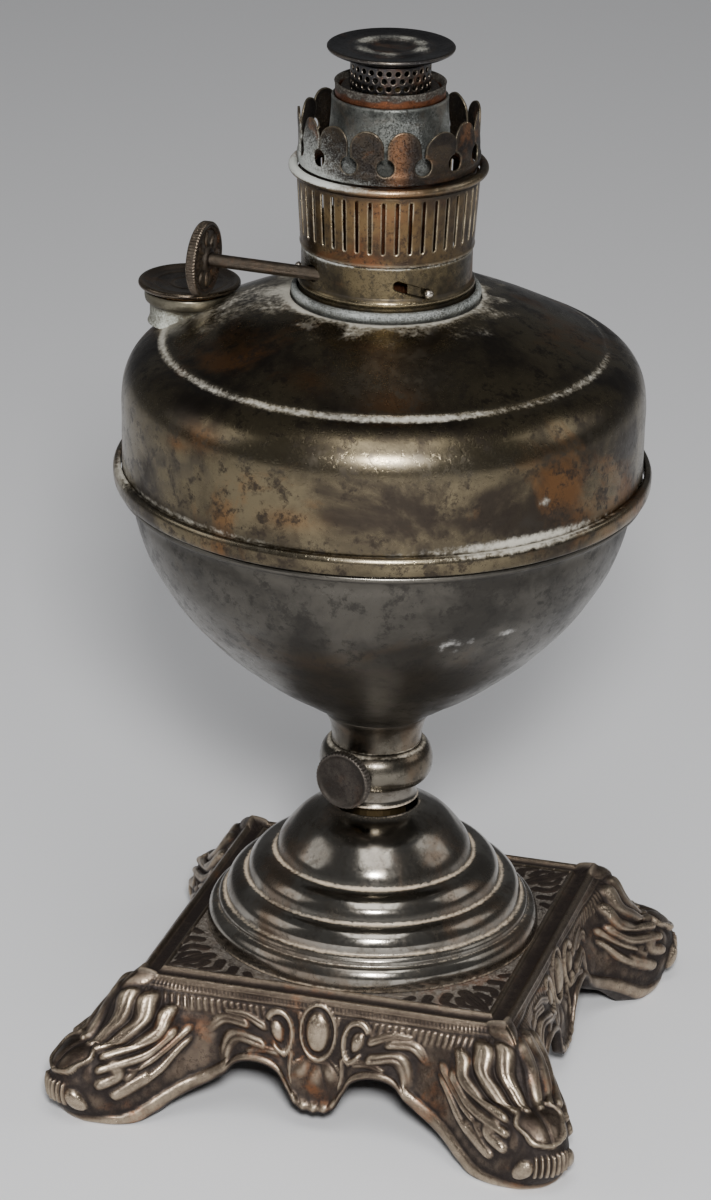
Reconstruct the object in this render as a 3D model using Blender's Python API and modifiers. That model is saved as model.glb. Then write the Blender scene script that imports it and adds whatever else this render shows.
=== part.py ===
"""Nickel-plated brass table lamp with a round-wick central-draught burner.

Every size is in millimetres and every maker function scales it to metres. The lamp stands on
z = 0 with its axis on Z. The sides of the square base lie along X and Y, and the wick key and
the filler are on the -X side.
"""
import math

import bmesh
import bpy
from mathutils import Matrix, Vector

MM = 0.001
GAP = 0.3                      # clearance that neighbouring pieces keep
BIG, MID, SMALL = 32, 24, 14   # facets round large, burner-sized and small turned pieces

# Base casting
SIDE = 59.0                    # half the width of the square top
PLATE_TOP = 43.5
PLATE_UNDER = 40.2
EDGE_TOP = 42.6                # top of the apron at the plate's edge
CASTING_WALL = 3.0
LEG_START = 38.0               # where a leg starts, measured along a side from its middle
LEG_REACH = 113.0              # from the lamp's axis to the toe of a foot
PANEL_HALF = 52.5              # half the width of the flat panel inside the frame moulding
COVE_HALF, COVE_Z = 55.0, 42.2  # bottom of the frame's cove
EDGE_HALF = 57.6               # top of the frame's outer roll
TUBE_HOLE = 9.9
# Tie tube, stem and dome
TIE_R, TIE_BORE = 9.6, 8.6
TIE_LOW, TIE_TOP = 31.0, 110.0
DOME_FOOT_R = 52.3
SHEET = 0.9                    # wall of the spun brass pieces
# Font
FONT_R = 79.3
RIM_R = 81.8
RIM_LOW, RIM_TOP = 193.0, 199.0
NECK_R = 28.6
# Filler
FILLER_R, FILLER_AZ = 63.1, 176.9
FILLER_BORE, FILLER_NECK_R, FILLER_LIP_R = 11.2, 12.1, 13.7
FILLER_LIP_LOW, FILLER_LIP_TOP = 242.1, 246.0
CAP_R, CAP_TOP = 15.6, 248.8
# Draught tube, wick and wick tube
DRAUGHT_R, DRAUGHT_BORE = 11.6, 11.0
WICK_BORE, WICK_R = 12.1, 14.7
CARRIER_BORE, CARRIER_R = 15.0, 15.4
WICK_TUBE_BORE, WICK_TUBE_R = 15.7, 16.4
WICK_TUBE_TOP = 318.3
WICK_TOP = 317.0
SLEEVE_BORE, SLEEVE_R, SLEEVE_TOP = 16.75, 17.35, 314.3
# Burner collar, basket and coronet
COLLAR_R, COLLAR_BORE = 25.7, 25.15
COLLAR_LOW, COLLAR_TOP = 246.9, 268.3
BASKET_R_LOW, BASKET_R_TOP = 26.0, 27.4
BASKET_LOW, BASKET_TOP = 268.6, 290.4
BASKET_SLOTS = 42
BEAD_RING_R, BEAD_TUBE_R, BEAD_Z = 28.4, 1.4, 292.3
LEDGE_BORE, LEDGE_R, LEDGE_TOP = 22.5, 26.1, 292.4
CORONET_R, CORONET_WALL = 27.0, 0.6
CORONET_LOW, CORONET_TOP = 294.0, 310.5
LOBES = 15
LOBE_HOLE_R, LOBE_HOLE_Z = 2.65, 299.5
LOBE_HOLE_AZ = 283.8           # azimuth of one of the coronet's keyholes
# Lift ring: three tongues whose pins ride in slanted slots
LIFT_R, LIFT_BORE = 24.8, 24.2
PIN_R, PIN_AZ, PIN_Z = 1.05, 314.0, 260.0
PIN_TIP = 27.5
LIFT_TURN, LIFT_RISE = 18.2, 3.0
PINS = 3
# Wick drive
KEY_AXIS_AZ = -4.4             # direction of the shaft, from the key towards the burner
SHAFT_OFFSET, SHAFT_Z = 20.2, 262.5
KEY_FAR = 50.8                 # from the pinion's middle to the key's middle
KEY_R, KEY_T = 11.4, 3.0
SHAFT_R, JOURNAL_R = 2.0, 1.2
TOOTH_PITCH = 1.885
ADDENDUM, DEDENDUM = 0.35, 0.55
TOOTH_ROOT_W, TOOTH_TIP_W = 0.95, 0.45
WICK_TEETH, SPREADER_TEETH = 8, 10
# Flame spreader
DISC_R, DISC_TOP = 19.0, 329.2
THIMBLE_R, THIMBLE_WALL = 12.0, 0.6
THIMBLE_LOW, THIMBLE_TOP = 313.3, 325.2
ROD_R = 1.2
KNOB_AZ, KNOB_Z = 255.4, 99.3
KNOB_R, KNOB_NEAR, KNOB_FAR = 9.3, 18.4, 21.4

COLORS = {
    "nickel": ((0.30, 0.28, 0.25), 0.32, 1.0),
    "bright_nickel": ((0.42, 0.40, 0.37), 0.22, 1.0),
    "old_brass": ((0.34, 0.27, 0.15), 0.38, 1.0),
    "casting": ((0.33, 0.28, 0.23), 0.45, 1.0),
    "dark_steel": ((0.09, 0.09, 0.10), 0.45, 1.0),
    "zinc": ((0.32, 0.33, 0.31), 0.7, 0.8),
    "charred": ((0.12, 0.07, 0.04), 0.85, 0.2),
    "iron": ((0.11, 0.08, 0.06), 0.6, 0.9),
    "cotton": ((0.45, 0.38, 0.28), 0.95, 0.0),
    "cork": ((0.40, 0.25, 0.13), 0.9, 0.0),
}


def material(name):
    """Return the Principled material called name, made from COLORS the first time."""
    found = bpy.data.materials.get(name)
    if found:
        return found
    color, roughness, metallic = COLORS[name]
    made = bpy.data.materials.new(name)
    made.use_nodes = True
    shader = made.node_tree.nodes["Principled BSDF"]
    shader.inputs["Base Color"].default_value = (*color, 1.0)
    shader.inputs["Roughness"].default_value = roughness
    shader.inputs["Metallic"].default_value = metallic
    return made


def clear_scene():
    for old in list(bpy.data.objects):
        bpy.data.objects.remove(old, do_unlink=True)


def collection(name):
    made = bpy.data.collections.new(name)
    bpy.context.scene.collection.children.link(made)
    return made


clear_scene()
LAMP = collection("round_wick_table_lamp")
CUTTERS = collection("cutters")


def on_radius(radius, azimuth, z=0.0):
    """Point at a radius and an azimuth in degrees, in millimetres."""
    angle = math.radians(azimuth)
    return Vector((radius * math.cos(angle), radius * math.sin(angle), z))


def add_object(name, mesh, finish):
    """Put a mesh in the lamp's collection with one finish and smooth round faces."""
    made = bpy.data.objects.new(name, mesh)
    LAMP.objects.link(made)
    mesh.materials.append(material(finish))
    mesh.shade_smooth()
    return made


def as_cutter(obj):
    """Move an object to the cutters' collection and keep it out of the model."""
    for owner in list(obj.users_collection):
        owner.objects.unlink(obj)
    CUTTERS.objects.link(obj)
    obj.hide_render = True
    obj.display_type = "WIRE"
    return obj


def cut(obj, cutter, operation="DIFFERENCE"):
    """Cut the cutter out of obj, or join it on, with an exact Boolean."""
    as_cutter(cutter)
    boolean = obj.modifiers.new(cutter.name, "BOOLEAN")
    boolean.operation = operation
    boolean.solver = "EXACT"
    boolean.object = cutter
    return obj


def turned(name, profile, finish, facets=MID, wall=None):
    """Spin (radius, height) points, listed down the outer side, about Z.

    With a wall, the open profile is a sheet that thickens inwards. Without one, the profile
    is a closed loop unless both of its ends lie on the axis.
    """
    points = [Vector((r * MM, 0.0, z * MM)) for r, z in profile]
    on_axis = profile[0][0] == 0.0 and profile[-1][0] == 0.0
    edges = [(i, i + 1) for i in range(len(points) - 1)]
    if wall is None and not on_axis:
        edges.append((len(points) - 1, 0))
    mesh = bpy.data.meshes.new(name)
    mesh.from_pydata(points, edges, [])
    made = add_object(name, mesh, finish)
    spin = made.modifiers.new("spin", "SCREW")
    spin.steps = spin.render_steps = facets
    spin.use_merge_vertices = True
    spin.merge_threshold = 0.00001
    spin.use_smooth_shade = True
    if wall is not None:
        thicken = made.modifiers.new("wall", "SOLIDIFY")
        thicken.thickness = wall * MM
        thicken.offset = -1.0
        thicken.use_even_offset = True
    return made


def ring(name, inner, outer, low, high, finish, facets=MID):
    """Square-edged ring or short tube about Z."""
    return turned(name, [(outer, high), (outer, low), (inner, low), (inner, high)], finish, facets)


def rod(name, radius, low, high, finish, facets=SMALL):
    """Round bar along local Z from low to high."""
    return turned(name, [(0.0, high), (radius, high), (radius, low), (0.0, low)], finish, facets)


def block(name, size, centre, finish):
    """Box of the given size, in millimetres, made from a unit cube."""
    shape = bmesh.new()
    bmesh.ops.create_cube(shape, size=1.0)
    bmesh.ops.scale(shape, vec=Vector(size) * MM, verts=shape.verts)
    bmesh.ops.translate(shape, vec=Vector(centre) * MM, verts=shape.verts)
    mesh = bpy.data.meshes.new(name)
    shape.to_mesh(mesh)
    shape.free()
    made = add_object(name, mesh, finish)
    mesh.shade_flat()
    return made


def prism(name, outline, thickness, finish):
    """Closed flat outline of (x, y) points, filled and thickened both ways along local Z."""
    curve = bpy.data.curves.new(name + "_outline", "CURVE")
    curve.dimensions = "2D"
    curve.fill_mode = "BOTH"
    curve.extrude = thickness * MM / 2
    spline = curve.splines.new("POLY")
    spline.points.add(len(outline) - 1)
    for point, (x, y) in zip(spline.points, outline):
        point.co = (x * MM, y * MM, 0.0, 1.0)
    spline.use_cyclic_u = True
    return curve_to_mesh(name, curve, finish)


def curve_to_mesh(name, curve, finish):
    """Replace a curve by a welded mesh, so that it can be cut and joined."""
    temporary = bpy.data.objects.new(name + "_curve", curve)
    LAMP.objects.link(temporary)
    bpy.context.view_layer.update()
    depsgraph = bpy.context.evaluated_depsgraph_get()
    mesh = bpy.data.meshes.new_from_object(temporary.evaluated_get(depsgraph))
    shape = bmesh.new()
    shape.from_mesh(mesh)
    bmesh.ops.remove_doubles(shape, verts=shape.verts, dist=0.00001)
    bmesh.ops.recalc_face_normals(shape, faces=shape.faces)
    shape.to_mesh(mesh)
    shape.free()
    bpy.data.objects.remove(temporary, do_unlink=True)
    mesh.materials.clear()
    return add_object(name, mesh, finish)


def aim(obj, origin, azimuth):
    """Put local Z along a horizontal azimuth, local X up, with the origin at a point."""
    forward = on_radius(1.0, azimuth)
    up = Vector((0.0, 0.0, 1.0))
    side = forward.cross(up)
    turn = Matrix((up, side, forward)).transposed().to_4x4()
    obj.matrix_world = Matrix.Translation(Vector(origin) * MM) @ turn
    return obj


def turn_about_z(obj, azimuth, origin=(0.0, 0.0, 0.0)):
    """Turn an object's local X to an azimuth about a vertical line."""
    turn = Matrix.Rotation(math.radians(azimuth), 4, "Z")
    obj.matrix_world = Matrix.Translation(Vector(origin) * MM) @ turn
    return obj


def arc(centre, radius, start, end, count):
    """Points on an arc of a profile, with angles in degrees from the +radius direction."""
    steps = [math.radians(start + (end - start) * i / count) for i in range(count + 1)]
    return [(centre[0] + radius * math.cos(a), centre[1] + radius * math.sin(a)) for a in steps]


def smooth(x):
    """Ease from 0 to 1 as x goes from 0 to 1."""
    x = min(max(x, 0.0), 1.0)
    return x * x * (3 - 2 * x)


def between(table, x):
    """Read a value from a table of (x, value) pairs by straight interpolation."""
    for (x0, v0), (x1, v1) in zip(table, table[1:]):
        if x <= x1:
            return v0 + (v1 - v0) * (x - x0) / (x1 - x0)
    return table[-1][1]


# ---------------------------------------------------------------- base casting
# Lower outline of an apron: the drop in the middle, the arch and the step beside the leg.
APRON_LOW = [(0, 7.4), (5, 8.4), (9, 14.0), (12, 19.2), (18, 21.6), (25, 20.4), (29.5, 14.6),
             (LEG_START, 9.6)]
APRON_STOPS = [0, 5, 9, 12, 18, 25, 29.5]
LEG_STOPS = [0.0, 0.22, 0.45, 0.72, 1.0]
# Ridge of a leg, from the plate's corner over the scroll to the sole: distance, height.
RIDGE = [(83.0, 42.6), (90.0, 38.0), (95.2, 28.0), (98.6, 23.6), (105.0, 22.2),
         (110.8, 17.6), (LEG_REACH, 11.2), (110.6, 4.4), (104.0, 0.0)]
INNER_PARTS = (1.0, 0.66, 0.33, 0.06)     # rows of the inside, from the lower edge up
INNER_RIDGE = [(96.0, 0.0), (90.0, 14.0), (84.0, 30.0), (76.0, PLATE_UNDER)]
APRON_LEAN = 5.5               # how far the foot of an apron stands out from its top
RIDGE_TOP_Z = RIDGE[0][1]


def apron_point(t, part):
    """Outer face of an apron: t along the side, part from 0 at the top to 1 at the bottom."""
    low = between(APRON_LOW, t)
    lean = APRON_LEAN * part * part + 0.8 * math.sin(math.pi * part)
    return SIDE + lean, t, EDGE_TOP - (EDGE_TOP - low) * part


def leg_point(u, row, rows):
    """Outer face of a leg: u from 0 at the apron to 1 on the ridge, row down the ridge.

    In plan each row is a quarter ellipse from the apron's edge to the ridge. The top row is
    straight, because it is the plate's own edge.
    """
    part = row / (rows - 1)
    start_x, start_y, _ = apron_point(LEG_START, part)
    along, across = (start_x + start_y) / math.sqrt(2), (start_x - start_y) / math.sqrt(2)
    reach, ridge_z = RIDGE[row]
    round_share = smooth(part / 0.35)
    forward = (1 - round_share) * u + round_share * math.sin(math.pi * u / 2)
    inward = (1 - round_share) * (1 - u) + round_share * math.cos(math.pi * u / 2)
    rho = along + (reach - along) * forward
    p = across * inward
    low = between(APRON_LOW, LEG_START) * (1 - smooth(u / 0.45))
    ridge_part = (RIDGE_TOP_Z - ridge_z) / RIDGE_TOP_Z
    drop = part + (ridge_part - part) * smooth(u)
    return (rho + p) / math.sqrt(2), (rho - p) / math.sqrt(2), EDGE_TOP - (EDGE_TOP - low) * drop


def casting_section(t, u):
    """Closed section of the casting at one place round it, from the tube hole and back."""
    rows = len(RIDGE)
    slope = (LEG_START + (SIDE - LEG_START) * u) / SIDE if u is not None else t / SIDE
    top = [(PANEL_HALF, PLATE_TOP), (COVE_HALF, COVE_Z), (EDGE_HALF, PLATE_TOP)]
    section = [(h, h * slope, z) for h, z in top]
    if u is None:
        section += [apron_point(t, row / (rows - 1)) for row in range(rows)]
        inner = [apron_point(t, part) for part in INNER_PARTS]
        section += [(x - CASTING_WALL, y, z) for x, y, z in inner[:3]]
        section.append((inner[3][0] - CASTING_WALL, t, PLATE_UNDER))
    else:
        section += [leg_point(u, row, rows) for row in range(rows)]
        for (reach, ridge_z), part in zip(INNER_RIDGE, INNER_PARTS):
            x, y, z = apron_point(LEG_START, part)
            x -= CASTING_WALL
            along, across = (x + y) / math.sqrt(2), (x - y) / math.sqrt(2)
            rho = along + (reach - along) * math.sin(math.pi * u / 2)
            p = across * math.cos(math.pi * u / 2)
            low = z * (1 - smooth(u / 0.45)) if part == 1.0 else z + (ridge_z - z) * smooth(u)
            height = PLATE_UNDER if part == INNER_PARTS[-1] else low
            section.append(((rho + p) / math.sqrt(2), (rho - p) / math.sqrt(2), height))
    angle = math.atan2(slope, 1.0)
    hole = (TUBE_HOLE * math.cos(angle), TUBE_HOLE * math.sin(angle))
    return [(*hole, PLATE_TOP)] + section + [(*hole, PLATE_UNDER)]


def base_casting():
    """Loft the square base through its sections: eight mirrored half sides in a ring."""
    half = [casting_section(t, None) for t in APRON_STOPS]
    half += [casting_section(0, u) for u in LEG_STOPS]
    sections = []
    for quarter in range(4):
        turn = Matrix.Rotation(math.radians(90 * quarter), 3, "Z")
        side = [[(x, -y, z) for x, y, z in s] for s in reversed(half[1:])] + half[:-1]
        sections += [[turn @ Vector(p) for p in s] for s in side]
    shape = bmesh.new()
    grid = [[shape.verts.new(p * MM) for p in s] for s in sections]
    rows = len(grid[0])
    for i, section in enumerate(grid):
        following = grid[(i + 1) % len(grid)]
        for j in range(rows):
            k = (j + 1) % rows
            shape.faces.new((section[j], section[k], following[k], following[j]))
    bmesh.ops.triangulate(shape, faces=shape.faces)
    bmesh.ops.recalc_face_normals(shape, faces=shape.faces)
    mesh = bpy.data.meshes.new("base_casting")
    shape.to_mesh(mesh)
    shape.free()
    made = add_object("base_casting", mesh, "casting")
    mesh.set_sharp_from_angle(angle=math.radians(35))
    return made


# ---------------------------------------------------------------- stem and foot
def tie_parts():
    """Hollow threaded tube that draws the stem down onto the base, with its nut and washer."""
    tube = ring("tie_tube", TIE_BORE, TIE_R, TIE_LOW, TIE_TOP, "old_brass")
    hole = rod("tie_tube_shaft_hole", 2.2, 4.0, 14.0, "old_brass")
    cut(tube, aim(hole, (0, 0, KNOB_Z), KNOB_AZ))
    ring("base_washer", TIE_R + GAP, 16.0, 38.7, PLATE_UNDER - GAP, "old_brass")
    hexagon = [tuple(on_radius(15.0, 60 * i)[:2]) for i in range(6)]
    nut = prism("base_nut", hexagon, 6.0, "old_brass")
    nut.location.z = 35.4 * MM
    cut(nut, rod("base_nut_bore", TIE_R + GAP, 30.0, 40.0, "old_brass", MID))
    ring("stem_bush", TIE_R + GAP, 12.6, 106.4, 109.7, "old_brass")


def stepped_dome():
    """Spun dome of four bold steps over the base plate, with a neck at its top."""
    profile = [(12.9, 87.6), (13.6, 85.4), (22.6, 80.6), (26.8, 76.2), (29.6, 72.4),
               (31.0, 68.4), (35.5, 67.8), (38.3, 65.4), (40.0, 60.8),
               (45.3, 58.0), (46.5, 53.6), (50.1, 51.0), (51.8, 48.0),
               (DOME_FOOT_R, PLATE_TOP + GAP)]
    turned("stepped_dome", profile, "bright_nickel", MID, SHEET)
    turned("dome_neck", [(12.6, 93.4), (12.6, 90.0), (13.3, 87.9)], "bright_nickel", MID, SHEET)


def knop():
    """Turned ring of the stem that carries the knob's bearing."""
    outer = [(14.2, 106.0), (15.4, 104.6), (17.0, 101.6), (17.6, 98.6), (16.9, 95.6),
             (15.2, 93.8)]
    bore = TIE_R + 2.4
    body = turned("knop", outer + [(bore, 93.8), (bore, 106.0)], "nickel", MID)
    cut(body, aim(rod("knop_bush_hole", 3.3, 8.0, 22.0, "nickel"), (0, 0, KNOB_Z), KNOB_AZ))
    bush = ring("knob_bush", 1.8, 3.0, 12.4, 17.9, "old_brass", SMALL)
    aim(bush, (0, 0, KNOB_Z), KNOB_AZ)


def stem_neck():
    """Concave neck that joins the bowl to the knop."""
    turned("stem_neck", [(16.8, 116.8), (15.0, 113.6), (14.1, 110.0), (13.9, 106.3)], "nickel",
           MID, SHEET)


# ---------------------------------------------------------------- font
def bowl():
    """Lower half of the oil font, spun, with a bead where it meets the upper half."""
    profile = [(FONT_R, RIM_LOW - GAP), (79.9, 191.8), (76.2, 190.0), (73.8, 177.0),
               (67.4, 163.0), (56.4, 148.2), (42.6, 135.4),
               (32.6, 127.8), (23.6, 122.0), (17.2, 117.4), (12.2, 117.1)]
    turned("bowl", profile, "nickel", BIG, SHEET)


def font_top_line(proud=0.0):
    """Outline of the font's sloping top, grooved shoulder and wall, standing proud by a gap."""
    shoulder = arc((FONT_R - 13.0, 222.6), 13.0 + proud, 80.0, 0.0, 5)
    slope = [(NECK_R + GAP, 252.0), (34.0, 251.0), (47.0, 246.4), (60.0, 240.4), (66.0, 237.2),
             (67.4, 236.2)]
    line = [(r, z + proud) for r, z in slope] + shoulder[1:]
    return line + [(FONT_R + proud, RIM_LOW + GAP)]


def font_top():
    """Upper half of the font: sloping top, grooved shoulder and straight wall."""
    top = turned("font_top", font_top_line(), "nickel", BIG, SHEET)
    hole = rod("filler_hole", FILLER_BORE, 225.0, 255.0, "nickel", MID)
    cut(top, turn_about_z(hole, 0.0, on_radius(FILLER_R, FILLER_AZ)))


def font_rim():
    """Rolled brass band over the joint of the font's two halves."""
    inner = FONT_R + 0.6 + GAP
    profile = [(FONT_R + 1.1, RIM_TOP), (RIM_R - 0.4, RIM_TOP - 0.9), (RIM_R, RIM_TOP - 2.4),
               (RIM_R, RIM_LOW + 1.6), (RIM_R - 0.6, RIM_LOW), (inner, RIM_LOW),
               (FONT_R + GAP, RIM_TOP)]
    turned("font_rim_band", profile, "nickel", BIG)


def filler():
    """Screwed filler: neck, cork washer and dished cap."""
    at = on_radius(FILLER_R, FILLER_AZ)
    bottom = 226.0
    neck = [(FILLER_LIP_R, FILLER_LIP_TOP), (FILLER_LIP_R, FILLER_LIP_LOW),
            (FILLER_NECK_R, FILLER_LIP_LOW), (FILLER_NECK_R, bottom), (FILLER_BORE, bottom),
            (FILLER_BORE, FILLER_LIP_TOP)]
    neck_part = turn_about_z(turned("filler_neck", neck, "nickel"), 0.0, at)
    surface = [(0.0, 252.4)] + font_top_line(1.4 * GAP) + [(0.0, RIM_LOW + GAP)]
    cut(neck_part, turned("font_surface", surface, "nickel", BIG))
    seal_low = FILLER_LIP_TOP + 0.2
    turn_about_z(ring("filler_washer", 11.4, 13.2, seal_low, seal_low + 0.6, "cork"), 0.0, at)
    under, floor, plug = seal_low + 0.8, CAP_TOP - 1.4, FILLER_BORE - 0.4
    rim = arc((CAP_R - 0.9, CAP_TOP - 0.9), 0.9, 90.0, -90.0, 3)
    cap = [(0.0, floor), (8.0, floor), (11.0, floor + 0.3), (13.4, floor + 0.6)] + rim
    plug_low, plug_wall = 241.4, 0.9
    cap += [(plug, under), (plug, plug_low), (plug - plug_wall, plug_low),
            (plug - plug_wall, floor - 0.6), (0.0, floor - 0.6)]
    turn_about_z(turned("filler_cap", cap, "old_brass"), 0.0, at)


# ---------------------------------------------------------------- burner
def fixed_tubes():
    """Draught tube, font collar, wick tube and the sleeve that stands round it."""
    ring("draught_tube", DRAUGHT_BORE, DRAUGHT_R, 111.0, 312.8, "old_brass")
    collar = [(27.6, 255.2), (NECK_R, 254.2), (NECK_R, 246.9), (26.9, 246.9), (26.9, 255.2)]
    turned("font_collar", collar, "zinc")
    tube = ring("wick_tube", WICK_TUBE_BORE, WICK_TUBE_R, 240.0, WICK_TUBE_TOP, "charred")
    slot = block("wick_tube_slot", (6.0, 3.2, 38.0), (16.0, 0.0, 264.5), "charred")
    cut(tube, turn_about_z(slot, KEY_AXIS_AZ - 90.0))
    ring("wick_sleeve", SLEEVE_BORE, SLEEVE_R, 292.0, SLEEVE_TOP, "zinc")
    ring("burner_plate", SLEEVE_BORE, COLLAR_BORE - 0.1, 245.8, 246.6, "old_brass")


def burner_collar():
    """Fixed collar that screws into the font, with the shaft's hole and the slanted slots."""
    profile = [(COLLAR_R, COLLAR_TOP), (COLLAR_R, 258.6), (26.2, 258.4), (26.6, 257.3),
               (26.3, 256.4), (26.3, COLLAR_LOW)]
    collar = turned("burner_collar", profile, "old_brass", MID, COLLAR_R - COLLAR_BORE)
    hole = rod("shaft_hole", SHAFT_R + 0.4, -30.0, -4.0, "old_brass")
    cut(collar, aim(hole, shaft_foot(), KEY_AXIS_AZ))
    for i in range(PINS):
        cut(collar, slanted_slot("lift_slot_%d" % (i + 1), PIN_AZ + i * 360.0 / PINS))


def slanted_slot(name, azimuth):
    """Cutter for a slot that climbs LIFT_RISE while it runs LIFT_TURN degrees round the wall."""
    count = 6
    half = PIN_R + 0.4
    inner, outer = COLLAR_BORE - 2.0, COLLAR_R + 2.0
    shape = bmesh.new()
    loops = []
    end = math.degrees(half / COLLAR_R)
    stops = [-1.0] + [i / count for i in range(count + 1)] + [2.0]
    for stop in stops:
        share = min(max(stop, 0.0), 1.0)
        extra = -end if stop > 1.0 else end if stop < 0.0 else 0.0
        az = azimuth - LIFT_TURN * share + extra
        z = PIN_Z + LIFT_RISE * share
        corners = ((inner, z - half), (outer, z - half), (outer, z + half), (inner, z + half))
        loops.append([shape.verts.new(on_radius(r, az, h) * MM) for r, h in corners])
    for one, two in zip(loops, loops[1:]):
        for j in range(4):
            k = (j + 1) % 4
            shape.faces.new((one[j], one[k], two[k], two[j]))
    shape.faces.new(loops[0])
    shape.faces.new(reversed(loops[-1]))
    bmesh.ops.recalc_face_normals(shape, faces=shape.faces)
    mesh = bpy.data.meshes.new(name)
    shape.to_mesh(mesh)
    shape.free()
    return add_object(name, mesh, "old_brass")


def lift_ring():
    """Turning ring inside the collar: three tongues hang from it and carry the pins."""
    ring_part = ring("lift_ring", LIFT_BORE, LIFT_R, 257.0, 270.0, "old_brass")
    tongue = 14.0                # half of a tongue's width, in degrees
    gap_span = 360.0 / PINS - 2 * tongue
    for i in range(PINS):
        middle = PIN_AZ + (i + 0.5) * 360.0 / PINS
        name = "lift_ring_gap_%d" % (i + 1)
        outline = [(0.0, 0.0)]
        outline += [tuple(on_radius(32.0, middle + gap_span * (k / 6 - 0.5))[:2])
                    for k in range(7)]
        gap = prism(name, outline, 10.0, "old_brass")
        gap.location.z = 261.0 * MM
        cut(ring_part, gap)
    for i in range(PINS):
        pin = rod("lift_pin_%d" % (i + 1), PIN_R, LIFT_R + GAP, PIN_TIP, "nickel", 12)
        aim(pin, (0, 0, PIN_Z), PIN_AZ + i * 360.0 / PINS)


def basket():
    """Slotted basket that lets air in below the chimney."""
    profile = [(BASKET_R_TOP, BASKET_TOP), (BASKET_R_LOW, BASKET_LOW)]
    body = turned("slotted_basket", profile, "old_brass", BASKET_SLOTS, 0.6)
    turn_about_z(body, 180.0 / BASKET_SLOTS)
    shape = bmesh.new()
    for i in range(BASKET_SLOTS):
        turn = Matrix.Rotation(2 * math.pi * i / BASKET_SLOTS, 4, "Z")
        place = turn @ Matrix.Translation(Vector((26.8, 0.0, 280.9)) * MM)
        size = Matrix.Diagonal((5.0 * MM, 1.1 * MM, 16.2 * MM, 1.0))
        bmesh.ops.create_cube(shape, size=1.0, matrix=place @ size)
    mesh = bpy.data.meshes.new("basket_slots")
    shape.to_mesh(mesh)
    shape.free()
    cut(body, add_object("basket_slots", mesh, "old_brass"))


def gallery_rings():
    """Rolled bead round the gallery and the ledge inside it that the chimney stands on."""
    bead = arc((BEAD_RING_R, BEAD_Z), BEAD_TUBE_R, 90.0, -210.0, 5)
    turned("gallery_bead", bead, "nickel", BASKET_SLOTS)
    ring("chimney_ledge", LEDGE_BORE, LEDGE_R, LEDGE_TOP - 1.0, LEDGE_TOP, "old_brass",
         BASKET_SLOTS)


def coronet():
    """Ring of rounded lobes that grips the chimney, with a keyhole between each two."""
    facets = 3 * LOBES
    bore = CORONET_R - CORONET_WALL
    body = ring("coronet", bore, CORONET_R, CORONET_LOW, CORONET_TOP, "nickel", facets)
    turn_about_z(body, LOBE_HOLE_AZ)
    shape = bmesh.new()
    keyhole = keyhole_outline()
    for i in range(LOBES):
        azimuth = LOBE_HOLE_AZ + 360.0 * i / LOBES
        forward, across = on_radius(1.0, azimuth), on_radius(1.0, azimuth + 90.0)
        faces = []
        for reach in (CORONET_R - 3.0, CORONET_R + 3.0):
            points = [forward * reach + across * x + Vector((0.0, 0.0, z)) for x, z in keyhole]
            faces.append([shape.verts.new(p * MM) for p in points])
        inner, outer = faces
        shape.faces.new(reversed(inner))
        shape.faces.new(outer)
        for j, vertex in enumerate(inner):
            k = (j + 1) % len(inner)
            shape.faces.new((vertex, inner[k], outer[k], outer[j]))
    bmesh.ops.recalc_face_normals(shape, faces=shape.faces)
    mesh = bpy.data.meshes.new("coronet_keyholes")
    shape.to_mesh(mesh)
    shape.free()
    cut(body, add_object("coronet_keyholes", mesh, "nickel"))


def keyhole_outline():
    """Round hole with a slit above it that opens out between the rounded tops of two lobes."""
    slit, top, wide = 0.5, CORONET_TOP + 1.0, 4.6
    start = math.degrees(math.acos(slit / LOBE_HOLE_R))
    hole = arc((0.0, LOBE_HOLE_Z), LOBE_HOLE_R, start, -180.0 - start, 7)
    right = [(wide, top), (1.6, 307.0), (slit, 304.0)]
    return hole + [(-x, z) for x, z in reversed(right)] + right


# ---------------------------------------------------------------- wick and its drive
def shaft_foot():
    """Point of the wick shaft's axis that is nearest to the lamp's axis."""
    return on_radius(SHAFT_OFFSET, KEY_AXIS_AZ - 90.0, SHAFT_Z)


def gear_radii(teeth):
    """Root and tip radius of a pinion whose pitch line carries that many teeth."""
    pitch_r = teeth * TOOTH_PITCH / (2 * math.pi)
    return pitch_r - DEDENDUM, pitch_r + ADDENDUM


def pinion(name, teeth, width, bore, origin, azimuth, first):
    """Small gear about a horizontal axis, with one tooth at the angle first from straight up."""
    root, tip = gear_radii(teeth)
    outline = []
    for i in range(teeth):
        angle = math.radians(first + 360.0 * i / teeth)
        toward = Vector((math.cos(angle), math.sin(angle)))
        side = Vector((-toward.y, toward.x))
        for radius, half in ((root, -TOOTH_ROOT_W / 2), (tip, -TOOTH_TIP_W / 2),
                             (tip, TOOTH_TIP_W / 2), (root, TOOTH_ROOT_W / 2)):
            outline.append(tuple(toward * radius + side * half))
    gear = prism(name, outline, width, "old_brass")
    aim(gear, origin, azimuth)
    cut(gear, aim(rod(name + "_bore", bore, -width, width, "old_brass", 12), origin, azimuth))
    return gear


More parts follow.
